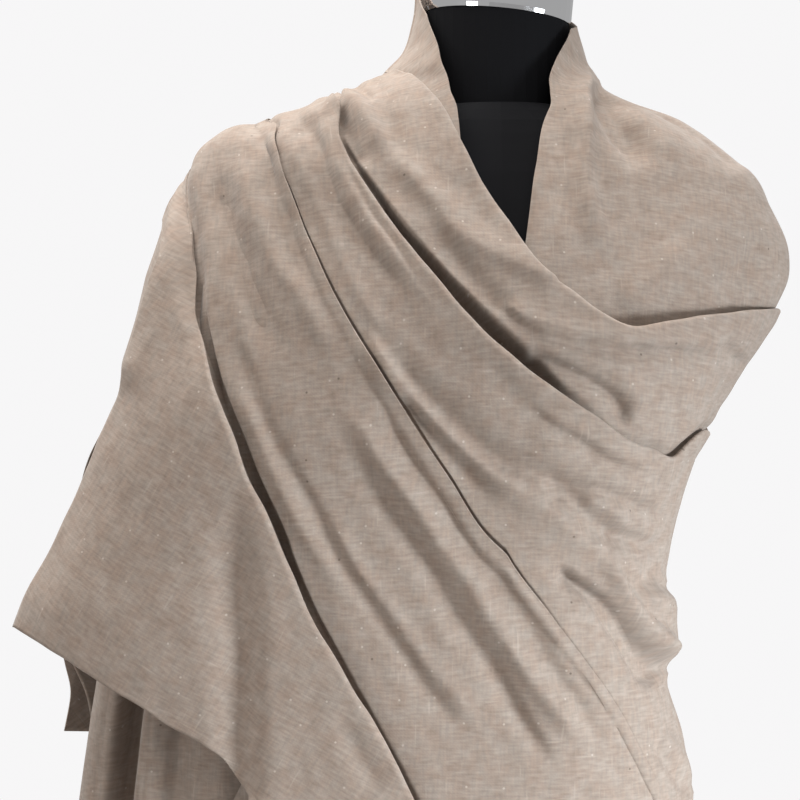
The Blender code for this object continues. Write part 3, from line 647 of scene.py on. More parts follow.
middleBand = {
    "name": "wrapMiddle", "seed": 21, "columns": (110, 200), "rows": 120, "rise": 80,
    "groove": ((-1, 0, 7, 3), (0, 2, 8, 2), (0.15, 4, 4, 3), (0.28, 3, 3.5, 3), (0.42, 3.5, 3.5, 3),
               (0.52, 1, 3, 3), (0.68, 0.5, 3, 3), (0.78, 0, 4, 3), (1, 0, 4, 3)),
    "lifts": ((-1, 5, 7, 1.0, 14), (-0.6, 5, 8, 2.0, 14), (-0.15, 8, 9, 1.0, 12), (0, 8.5, 10, 0.3, 12),
              (0.08, 8, 10, 0.4, 14), (0.20, 6, 13, 1.6, 20), (0.35, 5, 17, 3.0, 28),
              (0.58, 5, 17, 3.0, 28), (0.68, 5, 12, 2.2, 28), (0.78, 5, 8.5, 1.4, 28),
              (0.88, 5, 8, 1.0, 6), (1, 4, 8, 0.8, 6)),
    "creases": (
        (((-171, 1390), (-151, 1352), (-134, 1314), (-115, 1271), (-96, 1242), (-76, 1214)),
          2.5, 8, 7, 25, 30),
        (((-160, 1400), (-139, 1376), (-122, 1340), (-105, 1303), (-85, 1276), (-66, 1242)),
          -3.5, 8, 9, 15, 40),
        (((-20, 1211), (1, 1193), (23, 1171), (48, 1154), (83, 1135), (127, 1119)), -3.0, 9, 10, 30, 30),
        (((-91, 1244), (-48, 1193), (-15, 1171), (13, 1143), (40, 1136), (73, 1124)),
          2.0, 11, 11, 30, 30),
        (((-103, 1230), (-91, 1211), (-78, 1193), (-58, 1171), (-37, 1150), (-15, 1130), (7, 1113),
          (31, 1097), (57, 1080), (81, 1060), (103, 1047), (125, 1030)), 6.5, 5, 15, 20, 60),
        (((-83, 1208), (-58, 1178), (-26, 1146), (1, 1125), (31, 1117), (48, 1108), (66, 1092),
          (81, 1078), (90, 1069), (125, 1058)), -5.0, 10, 5, 20, 40),
        (((33, 1113), (49, 1109), (76, 1104), (100, 1097), (112, 1091), (136, 1083)), -5.0, 6, 5, 15, 20),
        (((64, 1098), (84, 1091), (104, 1075)), 4.0, 7, 8, 10, 10),
        (((82, 1074), (100, 1068), (112, 1064), (131, 1058)), -4.5, 5, 5, 10, 12),
        (((37, 1104), (61, 1082), (80, 1063)), -4.5, 7, 6, 15, 12),
        (((-83, 1187), (-63, 1160), (-44, 1139), (-21, 1115), (6, 1090)), -8.0, 9, 8, 25, 45),
        (((44, 1046), (58, 1034), (80, 1019), (100, 992), (118, 963), (124, 954)), -14.0, 5, 8, 18, 10),
        (((80, 1054), (92, 1036), (105, 1010), (115, 992), (127, 972), (137, 957)), 9.0, 5, 7, 22, 10),
        (((110, 1034), (121, 1018), (124, 1003), (122, 988), (113, 974)), 15.0, 13, 13, 14, 12),
        (((117, 1031), (132, 1029)), -6.0, 3, 4, 8, 2),
        (((110, 971), (138, 965)), -8.0, 4, 5, 8, 3),
        (((123, 912), (137, 888), (151, 866)), -4.5, 5, 5, 12, 10),
        (((128, 914), (147, 883), (158, 862)), 4.0, 6, 6, 12, 10),
    ),
    "behind": (
        (((-160, 1370), (-176, 1250), (-188, 1130), (-200, 1000), (-203, 880)), -5.0, 8, 9, 30, 5),
        (((-172, 1360), (-192, 1250), (-208, 1120), (-222, 1000), (-228, 890)), 4.0, 9, 8, 50, 30),
        (((-150, 1340), (-158, 1220), (-168, 1100), (-172, 960)), 2.5, 8, 8, 40, 80),
    ),
}
lowerBand = {
    "name": "wrapLower", "seed": 31, "columns": (110, 150), "rows": 130, "rise": 70,
    "groove": ((-1, 0, 8, 3), (0, 3, 14, 2), (0.1, 6, 15, 2), (0.2, 9, 14, 2), (0.26, 14, 6, 2.5),
               (0.30, 20, 4.4, 3.5), (0.335, 25, 4.0, 3.5), (0.37, 27, 4.4, 4), (0.41, 28, 5.2, 4),
               (0.45, 28, 6, 5), (0.49, 27, 6.8, 5), (0.52, 26, 6.6, 5), (0.545, 22, 5, 4),
               (0.595, 16, 4, 4), (0.67, 7, 2.6, 3), (0.75, 5, 2.4, 3), (1, 5, 2.4, 3)),
    # u from which, and to which, its upper edge comes to lie flat on the band above
    "flush": (0.42, 0.60),
    "lifts": ((-1, 7, 9, 1.0, 14), (-0.5, 8, 10, 2.6, 14), (-0.15, 10, 10.5, 1.0, 12),
              (0, 11, 11, 0.3, 12), (0.06, 10.5, 11, 0.3, 20), (0.15, 6, 8, 0.6, 28),
              (0.5, 5, 6, 0.6, 40), (0.8, 5, 5.5, 0.5, 60), (0.94, 5, 5, 0.4, 100), (1, 5, 5, 0.4, 120)),
    "creases": (
        (((-206, 1191), (-190, 1157), (-173, 1115), (-154, 1079), (-133, 1045), (-115, 1014)),
          3.0, 7, 7, 40, 60),
        (((-207, 1231), (-190, 1183), (-175, 1146), (-159, 1118), (-140, 1084), (-125, 1056),
          (-109, 1030), (-89, 1001), (-70, 973), (-55, 949), (-37, 928), (-27, 916)), -3.5, 5, 7, 40, 30),
        (((-130, 1086), (-109, 1045), (-89, 1019), (-68, 988), (-50, 965), (-29, 941), (-16, 923)),
          2.8, 7, 6, 30, 25),
        (((-115, 1152), (-105, 1123), (-89, 1092), (-73, 1068), (-55, 1045), (-37, 1014), (-21, 990),
          (-5, 967), (8, 944), (23, 920), (36, 902), (51, 884)), -6.0, 6, 8, 70, 50),
        (((-125, 1175), (-105, 1152), (-86, 1123), (-62, 1092), (-44, 1064), (-23, 1035), (-8, 1009),
          (10, 983), (26, 959), (44, 936), (65, 910), (75, 895)), 7.0, 8, 9, 60, 50),
        (((-94, 1175), (-73, 1146), (-55, 1113), (-31, 1082), (-13, 1056), (5, 1030), (23, 1001),
          (41, 970), (59, 944), (75, 920), (86, 900)), -3.5, 7, 8, 40, 40),
        (((-218, 1363), (-213, 1318), (-204, 1291), (-194, 1259), (-181, 1227), (-169, 1199)),
          -7.5, 12, 10, 40, 50),
        (((-200, 1370), (-190, 1323), (-181, 1301), (-172, 1280), (-155, 1259), (-143, 1237),
          (-126, 1203)), 3.5, 9, 9, 30, 40),
        (((-181, 1370), (-168, 1323), (-155, 1291), (-144, 1261)), -3.5, 8, 7, 25, 40),
    ),
    "behind": (
        (((-212, 1345), (-232, 1240), (-250, 1130), (-262, 1010), (-264, 900)), -5.5, 9, 8, 40, 5),
        (((-222, 1330), (-246, 1220), (-268, 1100), (-282, 990)), 3.5, 8, 9, 50, 50),
    ),
}
throwBand = {
    "name": "throwPanel", "seed": 41, "columns": (110, 150), "rows": 140, "weaveTurn": 30,
    # at the top in front its inner edge runs into the band beside it: how far, and in what stretch
    "pressMm": 12.0, "pressUntil": (0.36, 0.16), "tail": 0.010,
    # the lower edge in front, (x, z) as seen, and from which u on it is pulled straight
    "hem": ((-378, 998), (-333, 971), (-304, 951), (-276, 934), (-263, 924), (-228, 904), (-216, 894),
            (-206, 878), (-192, 858), (-165, 836), (-120, 815), (-35, 783)),
    "hemFrom": 0.55,
    # u, lift at the free edge and at the rolled edge, radius of the roll
    "lifts": ((-1, 14, 13, 1.5), (-0.5, 10, 13, 3), (-0.33, 7, 13, 2.5), (-0.2, 9, 13, 1.5),
              (-0.1, 12, 12.5, 0.8), (0, 14, 12, 0.3), (0.06, 15, 12, 0.3), (0.14, 17, 11, 0.4),
              (0.24, 18, 11, 0.7), (0.31, 18, 13, 1.6), (0.38, 18, 16, 2.8), (0.5, 18, 18, 3.4),
              (1, 19, 18.5, 3.6)),
    "creases": (
        (((-212, 1113), (-206, 1061), (-203, 996), (-201, 957), (-203, 905), (-204, 860)),
          -12.0, 15, 17, 90, 5),
        (((-122, 930), (-105, 892), (-89, 866)), -2.5, 9, 9, 20, 20),
        (((-249, 1341), (-249, 1317), (-248, 1278), (-244, 1247), (-238, 1217)), 5.0, 6, 9, 45, 30),
        (((-258, 1310), (-262, 1290), (-269, 1258), (-279, 1220), (-290, 1175)), 7.0, 12, 12, 45, 30),
    ),
    "behind": (
        (((-246, 1290), (-268, 1190), (-296, 1080), (-312, 990), (-316, 915)), -5.0, 9, 10, 40, 5),
    ),
}


def throwGrid(piece):
    free = wrapRoute("selvedge")
    inner = wrapRoute("throw", seenCount=-1)
    u = routeSteps(piece["columns"])
    low, high, roll = columnsOf(piece["lifts"], u)
    start, end = free(u), inner(u)
    v = np.linspace(0.0, 1.0, piece["rows"])[None, :]
    sine = mix(np.sin(np.radians(start[:, :1])), np.sin(np.radians(end[:, :1])), v)
    bySine = np.degrees(np.arcsin(np.clip(sine, -1.0, 1.0)))
    turn = np.where(u[:, None] < 0, mix(start[:, :1], end[:, :1], v), bySine)
    z = mix(start[:, 1:], end[:, 1:], v)
    lift = mix(low[:, None], high[:, None], v)
    hem = smoothTable(piece["hem"])
    for _ in range(2):
        seenX, seenZ = seenPlace(onCloth(turn[-1], z[-1], lift[-1]))
        wanted = (hem(seenX)[:, 0] - seenZ) * mm
        across = onCloth(turn, z, lift)[..., 0]
        moved = ease(u[:, None], piece["hemFrom"], 1.0)
        z = z + wanted[None, :] * moved
        for _ in range(3):
            sine = np.sin(np.radians(turn)) * across / onCloth(turn, z, lift)[..., 0]
            turn = np.where(moved > 0, np.degrees(np.arcsin(np.clip(sine, -1.0, 1.0))), turn)
    lift = lift + creasedLift(piece, turn, z, lift)
    fromEdge = (1.0 - v) * sheetWidth(start, end, u)[:, None]
    pressed = pressedOn(u, fromEdge, *piece["pressUntil"])
    lift = restOn(lift - piece["pressMm"] * pressed, turn, z, edgeRoom(roll, fromEdge, pressed))
    return withRoll(onCloth(turn, z, lift), roll, piece["seed"] + 2, piece["tail"])


def makeWrap():
    thinAndHem = wrapRoute("thin", tail=((80, hemZ), (126, hemZ)))
    deep = wrapRoute("deep")
    upperGrid = bandGrid(upperBand, deep, wrapRoute("neck"))
    middleGrid = bandGrid(middleBand, thinAndHem, deep)
    lowerGrid = bandGrid(lowerBand, wrapRoute("throw"), wrapRoute("thin"))
    made = {
        "upper": clothPiece(upperBand["name"], [upperGrid]),
        "middle": clothPiece(middleBand["name"], [middleGrid]),
        "lower": clothPiece(lowerBand["name"], [lowerGrid]),
        "throw": clothPiece(throwBand["name"], [throwGrid(throwBand)], throwBand["weaveTurn"]),
    }
    print("wrap made")
    return made


# ---- first layer: beside the neck, round behind it, over the other shoulder
firstLayer = {
    "name": "firstLayer", "seed": 51, "rough": (0.8, 0.3), "rowsDown": 200,
    # columns behind; columns and rows of the shoulder and of the strip beside the neck
    "behindColumns": 150, "shoulderGrid": (90, 110), "stripGrid": (50, 60),
    # share of the way round behind, height of the collar
    "collar": ((0.0, 1.467), (0.25, 1.486), (0.5, 1.497), (0.75, 1.500), (1.0, 1.497)),
    # share of the rows, share of the way down
    "drop": ((0.0, 0.0), (0.06, 0.05), (0.16, 0.13), (0.30, 0.26), (1.0, 1.0)),
    # heights along the two ridges, where the grids meet
    "ridgePlusX": (1467, 1400, 1300, 1200), "ridgeMinusX": (1497, 1440, 1390, 1345),
    # amount, height below which it holds, fade, for the degrees that the back starts behind the
    # ridge at +X, that the shoulder goes on under it, and that the back ends before that at -X
    "backStart": (20.0, 1.335, 0.050), "shoulderPast": (32.0, 1.330, 0.035),
    "backEnds": ((6.0, 1.345, 0.060), (18.0, 1.120, 0.140)),
    # the same for its soft folds behind, in mm, and for its free edge at +X and the shoulder's dip
    "foldMm": 2.5, "foldCount": 9.0, "foldsBelow": (1.0, 1.250, 0.300), "foldsFrom": (0.2, 0.4),
    "freeBelow": (1.0, 1.315, 0.035),
    "dipMm": -3.0, "dipTurns": (82.0, 89.0), "dipBelow": (1.0, 1.345, 0.020),
    # turns behind over which it stops lying close on the form, and on the ends of the bands
    "offForm": (108.0, 130.0), "offBands": (140.0, 150.0),
    "clearMm": 1.1, "stripClearMm": 0.4, "overBandsMm": 0.6,
    "vPlusX": ((58, 1465), (51, 1450), (41, 1420), (36, 1392), (30, 1358), (25, 1322), (21, 1292),
               (16, 1261), (13, 1230)),
    "vMinusX": ((-56, 1476), (-40, 1430), (-30, 1392), (-27, 1366), (-24, 1339), (-21, 1316)),
    "creases": (
        (((69, 1438), (71, 1394), (71, 1342), (80, 1313), (100, 1288)), 9.0, 4.5, 14, 25, 50),
        (((61, 1400), (62, 1331), (70, 1298)), -3.0, 9, 9, 30, 30),
        (((78, 1424), (84, 1408), (93, 1390), (106, 1370), (120, 1354)), -13.0, 12, 9, 14, 40),
        (((98, 1402), (116, 1388), (133, 1370), (152, 1350)), 4.0, 11, 8, 18, 40),
        (((92, 1422), (112, 1414), (135, 1404), (160, 1390), (182, 1372), (198, 1354)),
          -6.5, 14, 11, 6, 25),
        (((148, 1302), (119, 1265), (96, 1244)), 3.5, 12, 12, 25, 15),
        (((205, 1300), (190, 1272), (165, 1254)), -4.0, 12, 11, 20, 25),
    ),
    "behind": (
        (((168, 1270), (152, 1100), (158, 900), (160, 738)), 4.0, 11, 9, 80, 1),
        (((136, 1250), (122, 1100), (118, 920), (122, 738)), -5.0, 11, 12, 110, 1),
        (((92, 1330), (84, 1120), (72, 920), (70, 738)), 6.0, 14, 11, 130, 1),
        (((46, 1220), (40, 1040), (28, 880), (26, 738)), -6.5, 11, 14, 120, 1),
        (((4, 1330), (8, 1130), (-8, 920), (-14, 738)), 4.0, 17, 13, 150, 1),
        (((-36, 1160), (-44, 960), (-60, 738)), -7.0, 12, 11, 110, 1),
        (((-76, 1240), (-84, 1020), (-96, 738)), 6.0, 12, 13, 120, 1),
        (((-118, 1120), (-126, 920), (-140, 738)), -5.0, 13, 12, 100, 1),
        (((-172, 900), (-180, 830), (-186, 738)), 5.0, 13, 13, 60, 1),
        (((-230, 900), (-240, 830), (-248, 738)), -6.0, 14, 12, 60, 1),
        (((206, 1296), (160, 1246), (100, 1208), (30, 1190)), -3.5, 8, 12, 30, 70),
        (((196, 1262), (140, 1192), (80, 1140), (30, 1118)), 3.0, 11, 9, 30, 60),
        (((58, 1440), (92, 1394), (150, 1352), (190, 1330)), -2.5, 8, 9, 20, 50),
        (((-10, 1440), (-6, 1380), (6, 1330)), -2.0, 9, 9, 20, 30),
    ),
}


def gridShares(columns, rows):
    return np.linspace(0.0, 1.0, columns)[:, None], np.linspace(0.0, 1.0, rows)


def openingLine(name):
    # a side of the V opening, from the neck down
    return routeThrough(seenToRound(firstLayer[name], 0))


def ridgeLine(turn, heights):
    return routeThrough(rounds(*((turn, z) for z in heights)))


def behindPlaces(piece):
    # from the ridge at +X round the back to the ridge at -X
    u = np.linspace(0.0, 1.0, piece["behindColumns"])[:, None]
    drop = columnsOf(piece["drop"], np.linspace(0.0, 1.0, piece["rowsDown"]))
    z = mix(smoothTable(piece["collar"])(u[:, 0]), hemZ * mm, drop)
    start = ridgeTurn + belowHeight(z, *piece["backStart"])
    end = 360.0 - ridgeTurn
    for sooner in piece["backEnds"]:
        end = end - belowHeight(z, *sooner)
    turn = mix(start, end, u)
    folds = piece["foldMm"] * np.sin(u * piece["foldCount"] * math.pi)
    lift = folds * belowHeight(z, *piece["foldsBelow"]) * ease(u, *piece["foldsFrom"])
    lift = lift + creasedLift(piece, turn, z, lift)
    # near the ridge it lies like the shoulder it is joined to
    rested = restOn(lift, turn, z, wallMm + piece["clearMm"])
    lift = mix(rested, lift, ease(turn, *piece["offForm"]))
    layDown(turn - 360.0, z, lift)
    return turn, z, lift


def restedGrid(piece, turn, z, lift, clearMm):
    lift = restOn(lift + creasedLift(piece, turn, z, lift), turn, z, wallMm + clearMm)
    layDown(turn, z, lift)
    return onCloth(turn, z, lift)[:, ::-1]


def shoulderGrid(piece):
    # over the shoulder at +X, from the opening to the ridge and on under the back
    u, v = gridShares(*piece["shoulderGrid"])
    start, end = openingLine("vPlusX")(v), ridgeLine(ridgeTurn, piece["ridgePlusX"])(v)
    z = mix(start[:, 1], end[:, 1], u)
    turn = mix(start[:, 0], end[:, 0] + belowHeight(end[:, 1], *piece["shoulderPast"]), u)
    lift = piece["dipMm"] * ease(turn, *piece["dipTurns"]) * belowHeight(z, *piece["dipBelow"])
    return restedGrid(piece, turn, z, lift, piece["clearMm"])


def besideNeckGrid(piece):
    # beside the neck at -X, from the ridge to the opening
    u, v = gridShares(*piece["stripGrid"])
    start, end = ridgeLine(-ridgeTurn, piece["ridgeMinusX"])(v), openingLine("vMinusX")(v)
    z = mix(start[:, 1], end[:, 1], u)
    turn = mix(start[:, 0], end[:, 0], u)
    return restedGrid(piece, turn, z, 0.0 * turn, piece["stripClearMm"])


def overBands(piece, turn, z, lift):
    # the back of the first layer, with its free edge at +X lying on the ends of the bands
    rested = restOn(lift, turn, z, wallMm + piece["overBandsMm"])
    free = belowHeight(z, *piece["freeBelow"]) * (1.0 - ease(turn, *piece["offBands"]))
    return onCloth(turn, z, mix(lift, rested, free))[:, ::-1]


# ---- the first end, hanging in tube folds under the throw and round the side
underEnd = {
    "name": "underEnd", "seed": 61, "rough": (0.8, 0.2), "columns": 260, "rows": 110,
    # height of its top at the ridge, and of its lower edge above the hem
    "topZ": 1345, "hemUp": 5,
    # turns over which its side begins, how far in that lies, and how much further in it goes
    # behind, over which turns
    "sideFrom": (-76.0, -90.0), "sideLift": -3.0, "backIn": 8.0, "backFrom": (-91.0, -108.0),
    # shares of the way down over which its creases, its side and its tube folds come in
    "creasesOver": (0.0, 0.2), "sideOver": (0.0, 0.08), "foldsOver": (0.0, 0.55),
    # which way the tube folds move the cloth: shares of the guide's normal, less this move
    "foldWay": (0.35, 0.35, 0.2), "foldLess": (0, 0.75, 0),
    # share of the columns, turn
    "spread": ((0.0, -118), (0.18, -76), (0.27, -66), (0.73, -46), (1.0, -22)),
    # z, how far its side reaches
    "reach": ((735, 340.0), (863, 327.0), (918, 320.0), (955, 314.0), (1050, 298.5), (1170, 279.0),
              (1260, 254.5), (1300, 245.5), (1345, 232.0)),
    # turn, lift
    "folds": ((-118, -2), (-90, -2), (-78, -0.5), (-69, -2), (-64, -10), (-61, -34), (-57.5, -34),
              (-56, -8), (-53, -1), (-50, -6), (-47, -15), (-43, -8), (-39, -6), (-35, -12), (-30, -7),
              (-25, -12), (-22, -9)),
}


def underGrid(piece):
    spread, folds = smoothTable(piece["spread"]), smoothTable(piece["folds"])
    reach = smoothTable([(z * mm, side * mm) for z, side in piece["reach"]])
    v = np.linspace(0.0, 1.0, piece["rows"])[None, :]
    turn = spread(np.linspace(0.0, 1.0, piece["columns"]))
    edge = openingLine("vMinusX")(1.0)
    ahead = np.maximum(0.0, (turn + ridgeTurn) / (edge[0] + ridgeTurn))
    z = mix(mix(piece["topZ"] * mm, edge[1], ahead), hemZ * mm + piece["hemUp"] * mm, v)
    side = ease(turn, *piece["sideFrom"])
    insideBack = piece["sideLift"] - piece["backIn"] * ease(turn, *piece["backFrom"])
    turn = turn + 0 * v
    lift = insideBack * side + 0 * v
    lift = lift + creasedLift(piece, turn, z, lift) * ease(v, *piece["creasesOver"])
    points = onCloth(turn, z, lift)
    inward = ease(v, *piece["foldsOver"]) * folds(turn)[..., 0] * (1.0 - side) * mm
    points += inward[..., None] * unit(guideNormal(turn, z) * piece["foldWay"] - piece["foldLess"])
    points[..., 0] *= mix(1.0, reach(z)[..., 0] / guideAt(z)[..., 0], ease(v, *piece["sideOver"]))
    return points[:, ::-1]


def makeCloth():
    # from the inside out, as each sheet rests on those before it
    under = clothPiece(underEnd["name"], [underGrid(underEnd)])
    behind = behindPlaces(firstLayer)
    inFront = [shoulderGrid(firstLayer), besideNeckGrid(firstLayer)]
    made = {"under": under, **makeWrap()}
    grids = [overBands(firstLayer, *behind), *inFront]
    made["first"] = clothPiece(firstLayer["name"], grids, joined=True)
    print("first layer made")
    return made


# ---- finishes
def plainMaterial(name, colour, roughness, metallic=0.0):
    made = bpy.data.materials.new(name)
    made.use_nodes = True
    shader = made.node_tree.nodes["Principled BSDF"]
    shader.inputs["Base Color"].default_value = (*colour, 1.0)
    shader.inputs["Roughness"].default_value = roughness
    shader.inputs["Metallic"].default_value = metallic
    return made


def feed(tree, socket, value):
    # another node's output or a plain value into an input
    if isinstance(value, bpy.types.NodeSocket):
        tree.links.new(value, socket)
    else:
        socket.default_value = value


def addNode(tree, kind, settings=None, **inputs):
    # one node, with settings for its own fields and values or outputs for its inputs
    node = tree.nodes.new(kind)
    for name, value in (settings or {}).items():
        setattr(node, name, value)
    for name, value in inputs.items():
        feed(tree, node.inputs[name.replace("_", " ")], value)
    return node


def mathNode(tree, operation, *values):
    node = addNode(tree, "ShaderNodeMath", {"operation": operation})
    for socket, value in zip(node.inputs, values):
        feed(tree, socket, value)
    return node.outputs["Value"]


def mapRange(tree, value, span, onto=(0.0, 1.0), clamp=True):
    node = addNode(tree, "ShaderNodeMapRange", {"clamp": clamp}, Value=value, From_Min=span[0],
                   From_Max=span[1], To_Min=onto[0], To_Max=onto[1])
    return node.outputs["Result"]


def blendColours(tree, share, first, second, blendType="MIX"):
    node = addNode(tree, "ShaderNodeMix", {"data_type": "RGBA", "blend_type": blendType})
    for socket, value in zip((0, 6, 7), (share, first, second)):
        feed(tree, node.inputs[socket], value)
    return node.outputs[2]


covers = {
    "jersey": {"colour": (0.0055, 0.0055, 0.0066), "roughness": 0.8, "metallic": 0.0, "specular": 0.08},
    "chrome": {"colour": (0.82, 0.82, 0.83), "roughness": 0.09, "metallic": 1.0, "specular": 0.5},
}
covered = {
    "jersey": ("form_torso", "form_neck"),
    "chrome": ("neck_cap", "stand_pole", "stand_base"),
}

wool = {
    "taupe": (0.262, 0.199, 0.160, 1.0),
    "ash": (0.292, 0.242, 0.205, 1.0),
    "pale": (0.44, 0.38, 0.33, 1.0),
    "dark": (0.10, 0.075, 0.06, 1.0),
    "threadPerM": 410.0,        # rows of threads that show as streaks, in a metre
    "streakPerM": 90.0,         # streaks in a metre along a thread
    "patchPerM": 70.0,          # soft patches of the two shades
    "nepPerM": 42.0,            # cells that may hold a pale nep
    "bumpMm": 0.25, "bumpStrength": 0.35,
    "roughness": 0.88, "sheen": 0.12, "sheenRoughness": 0.5, "specular": 0.25,
}
weaveLook = {
    "streakDetail": 1.5, "streakRoughness": 0.6,
    "warpOffset": 7.3,                  # so that warp and weft have noise of their own
    "patchDetail": 3.0,
    "threadShare": 0.35,                # what threads add to the patches of shade
    "shadeSpan": (0.32, 0.68),
    "levelSpan": (0.7, 1.3), "levels": (0.86, 1.14),
    "slubOffsets": (31.0, 47.0), "slubStretch": 0.5, "slubSpan": (0.74, 0.86), "slubMost": 0.25,
    # seed, shade, share of the cells that hold none
    "neps": ((0.0, "Pale", 0.62), (5.0, "Dark", 0.955)),
    "nepSpan": (0.022, 0.045), "nepMost": 0.75,
    "waveShare": 0.15,
}


def times(tree, first, second):
    return mathNode(tree, "MULTIPLY", first, second)


def drawStreaks(tree, given, ways, offset, perM, detail):
    # noise drawn out along the first way, with a row for each thread across it
    along, across = ways
    at = addNode(tree, "ShaderNodeCombineXYZ", X=times(tree, along, perM),
                 Y=times(tree, across, given["Threads"]), Z=offset)
    noise = addNode(tree, "ShaderNodeTexNoise", Vector=at.outputs["Vector"], Scale=1.0, Detail=detail,
                    Roughness=weaveLook["streakRoughness"])
    return noise.outputs["Fac"]


def blendShades(tree, given, place, weft, warp):
    # soft patches of the two shades, which threads cross
    patches = addNode(tree, "ShaderNodeTexNoise", Vector=place, Scale=given["Patches"],
                      Detail=weaveLook["patchDetail"], Roughness=weaveLook["streakRoughness"])
    byThread = times(tree, mathNode(tree, "SUBTRACT", weft, warp), weaveLook["threadShare"])
    share = mathNode(tree, "ADD", patches.outputs["Fac"], byThread)
    share = mapRange(tree, share, weaveLook["shadeSpan"])
    return blendColours(tree, share, given["Shade A"], given["Shade B"])


def shadeThreads(tree, colour, both):
    # threads lighter or darker than their neighbours
    level = mapRange(tree, both, weaveLook["levelSpan"], weaveLook["levels"], clamp=False)
    grey = addNode(tree, "ShaderNodeCombineXYZ", X=level, Y=level, Z=level)
    return blendColours(tree, 1.0, colour, grey.outputs["Vector"], "MULTIPLY")


def addSlubs(tree, given, u, v, colour):
    # thin pale slubs along both threads
    for ways, offset in zip(((u, v), (v, u)), weaveLook["slubOffsets"]):
        perM = times(tree, given["Streaks"], weaveLook["slubStretch"])
        slub = drawStreaks(tree, given, ways, offset, perM, 0.0)
        mask = mapRange(tree, slub, weaveLook["slubSpan"], (0.0, weaveLook["slubMost"]))
        colour = blendColours(tree, mask, colour, given["Pale"])
    return colour


def addNeps(tree, given, place, colour):
    # specks of both shades, in some of the cells
    onto = (weaveLook["nepMost"], 0.0)
    for seed, shade, bare in weaveLook["neps"]:
        shifted = addNode(tree, "ShaderNodeVectorMath", {"operation": "ADD"})
        feed(tree, shifted.inputs[0], place)
        feed(tree, shifted.inputs[1], (seed, seed * 0.7, 0.0))
        cells = addNode(tree, "ShaderNodeTexVoronoi", {"voronoi_dimensions": "2D"},
                        Vector=shifted.outputs["Vector"], Scale=given["Neps"], Randomness=1.0)
        chosen = addNode(tree, "ShaderNodeSeparateXYZ", Vector=cells.outputs["Color"])
        near = mapRange(tree, cells.outputs["Distance"], weaveLook["nepSpan"], onto)
        mask = times(tree, near, mathNode(tree, "GREATER_THAN", chosen.outputs["X"], bare))
        colour = blendColours(tree, mask, colour, given[shade])
    return colour


def makeWeaveGroup():
    # plain weave of uneven heathered yarn on the threads' own coordinates
    tree = bpy.data.node_groups.new("heatheredWeave", "ShaderNodeTree")
    sockets = (("INPUT", "NodeSocketColor", ("Shade A", "Shade B", "Pale", "Dark")),
               ("INPUT", "NodeSocketFloat", ("Threads", "Streaks", "Patches", "Neps")),
               ("OUTPUT", "NodeSocketColor", ("Color",)), ("OUTPUT", "NodeSocketFloat", ("Height",)))
    for way, kind, names in sockets:
        for name in names:
            tree.interface.new_socket(name, in_out=way, socket_type=kind)
    given = tree.nodes.new("NodeGroupInput").outputs
    place = addNode(tree, "ShaderNodeUVMap", {"uv_map": "weave"}).outputs["UV"]
    split = addNode(tree, "ShaderNodeSeparateXYZ", Vector=place)
    u, v = split.outputs["X"], split.outputs["Y"]
    detail = weaveLook["streakDetail"]
    weft = drawStreaks(tree, given, (u, v), 0.0, given["Streaks"], detail)
    warp = drawStreaks(tree, given, (v, u), weaveLook["warpOffset"], given["Streaks"], detail)
    both = mathNode(tree, "ADD", weft, warp)
    colour = blendShades(tree, given, place, weft, warp)
    colour = shadeThreads(tree, colour, both)
    colour = addSlubs(tree, given, u, v, colour)
    colour = addNeps(tree, given, place, colour)
    # threads over and under
    fullTurns = times(tree, given["Threads"], 2.0 * math.pi)
    waves = [mathNode(tree, "SINE", times(tree, way, fullTurns)) for way in (u, v)]
    height = mathNode(tree, "ADD", times(tree, times(tree, *waves), weaveLook["waveShare"]), both)
    put = tree.nodes.new("NodeGroupOutput").inputs
    tree.links.new(colour, put["Color"])
    tree.links.new(height, put["Height"])
    return tree


def coverForm():
    # black jersey on the form, chrome on its cap and stand
    for name, facts in covers.items():
        made = plainMaterial(name, facts["colour"], facts["roughness"], facts["metallic"])
        shader = made.node_tree.nodes["Principled BSDF"]
        shader.inputs["Specular IOR Level"].default_value = facts["specular"]
        for node in covered[name]:
            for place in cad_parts[node].material_slots:
                place.material = made
    print("form covered")


def makeWool(name, weaveGroup):
    made = plainMaterial(name, wool["taupe"][:3], wool["roughness"])
    tree = made.node_tree
    shader = tree.nodes["Principled BSDF"]
    shader.inputs["Sheen Weight"].default_value = wool["sheen"]
    shader.inputs["Sheen Roughness"].default_value = wool["sheenRoughness"]
    shader.inputs["Specular IOR Level"].default_value = wool["specular"]
    group = addNode(tree, "ShaderNodeGroup", {"node_tree": weaveGroup})
    for socket, value in (("Shade A", "taupe"), ("Shade B", "ash"), ("Pale", "pale"), ("Dark", "dark"),
                          ("Threads", "threadPerM"), ("Streaks", "streakPerM"), ("Patches", "patchPerM"),
                          ("Neps", "nepPerM")):
        group.inputs[socket].default_value = wool[value]
    bump = addNode(tree, "ShaderNodeBump", Height=group.outputs["Height"], Distance=wool["bumpMm"] * mm,
                   Strength=wool["bumpStrength"])
    tree.links.new(group.outputs["Color"], shader.inputs["Base Color"])
    tree.links.new(bump.outputs["Normal"], shader.inputs["Normal"])
    return made


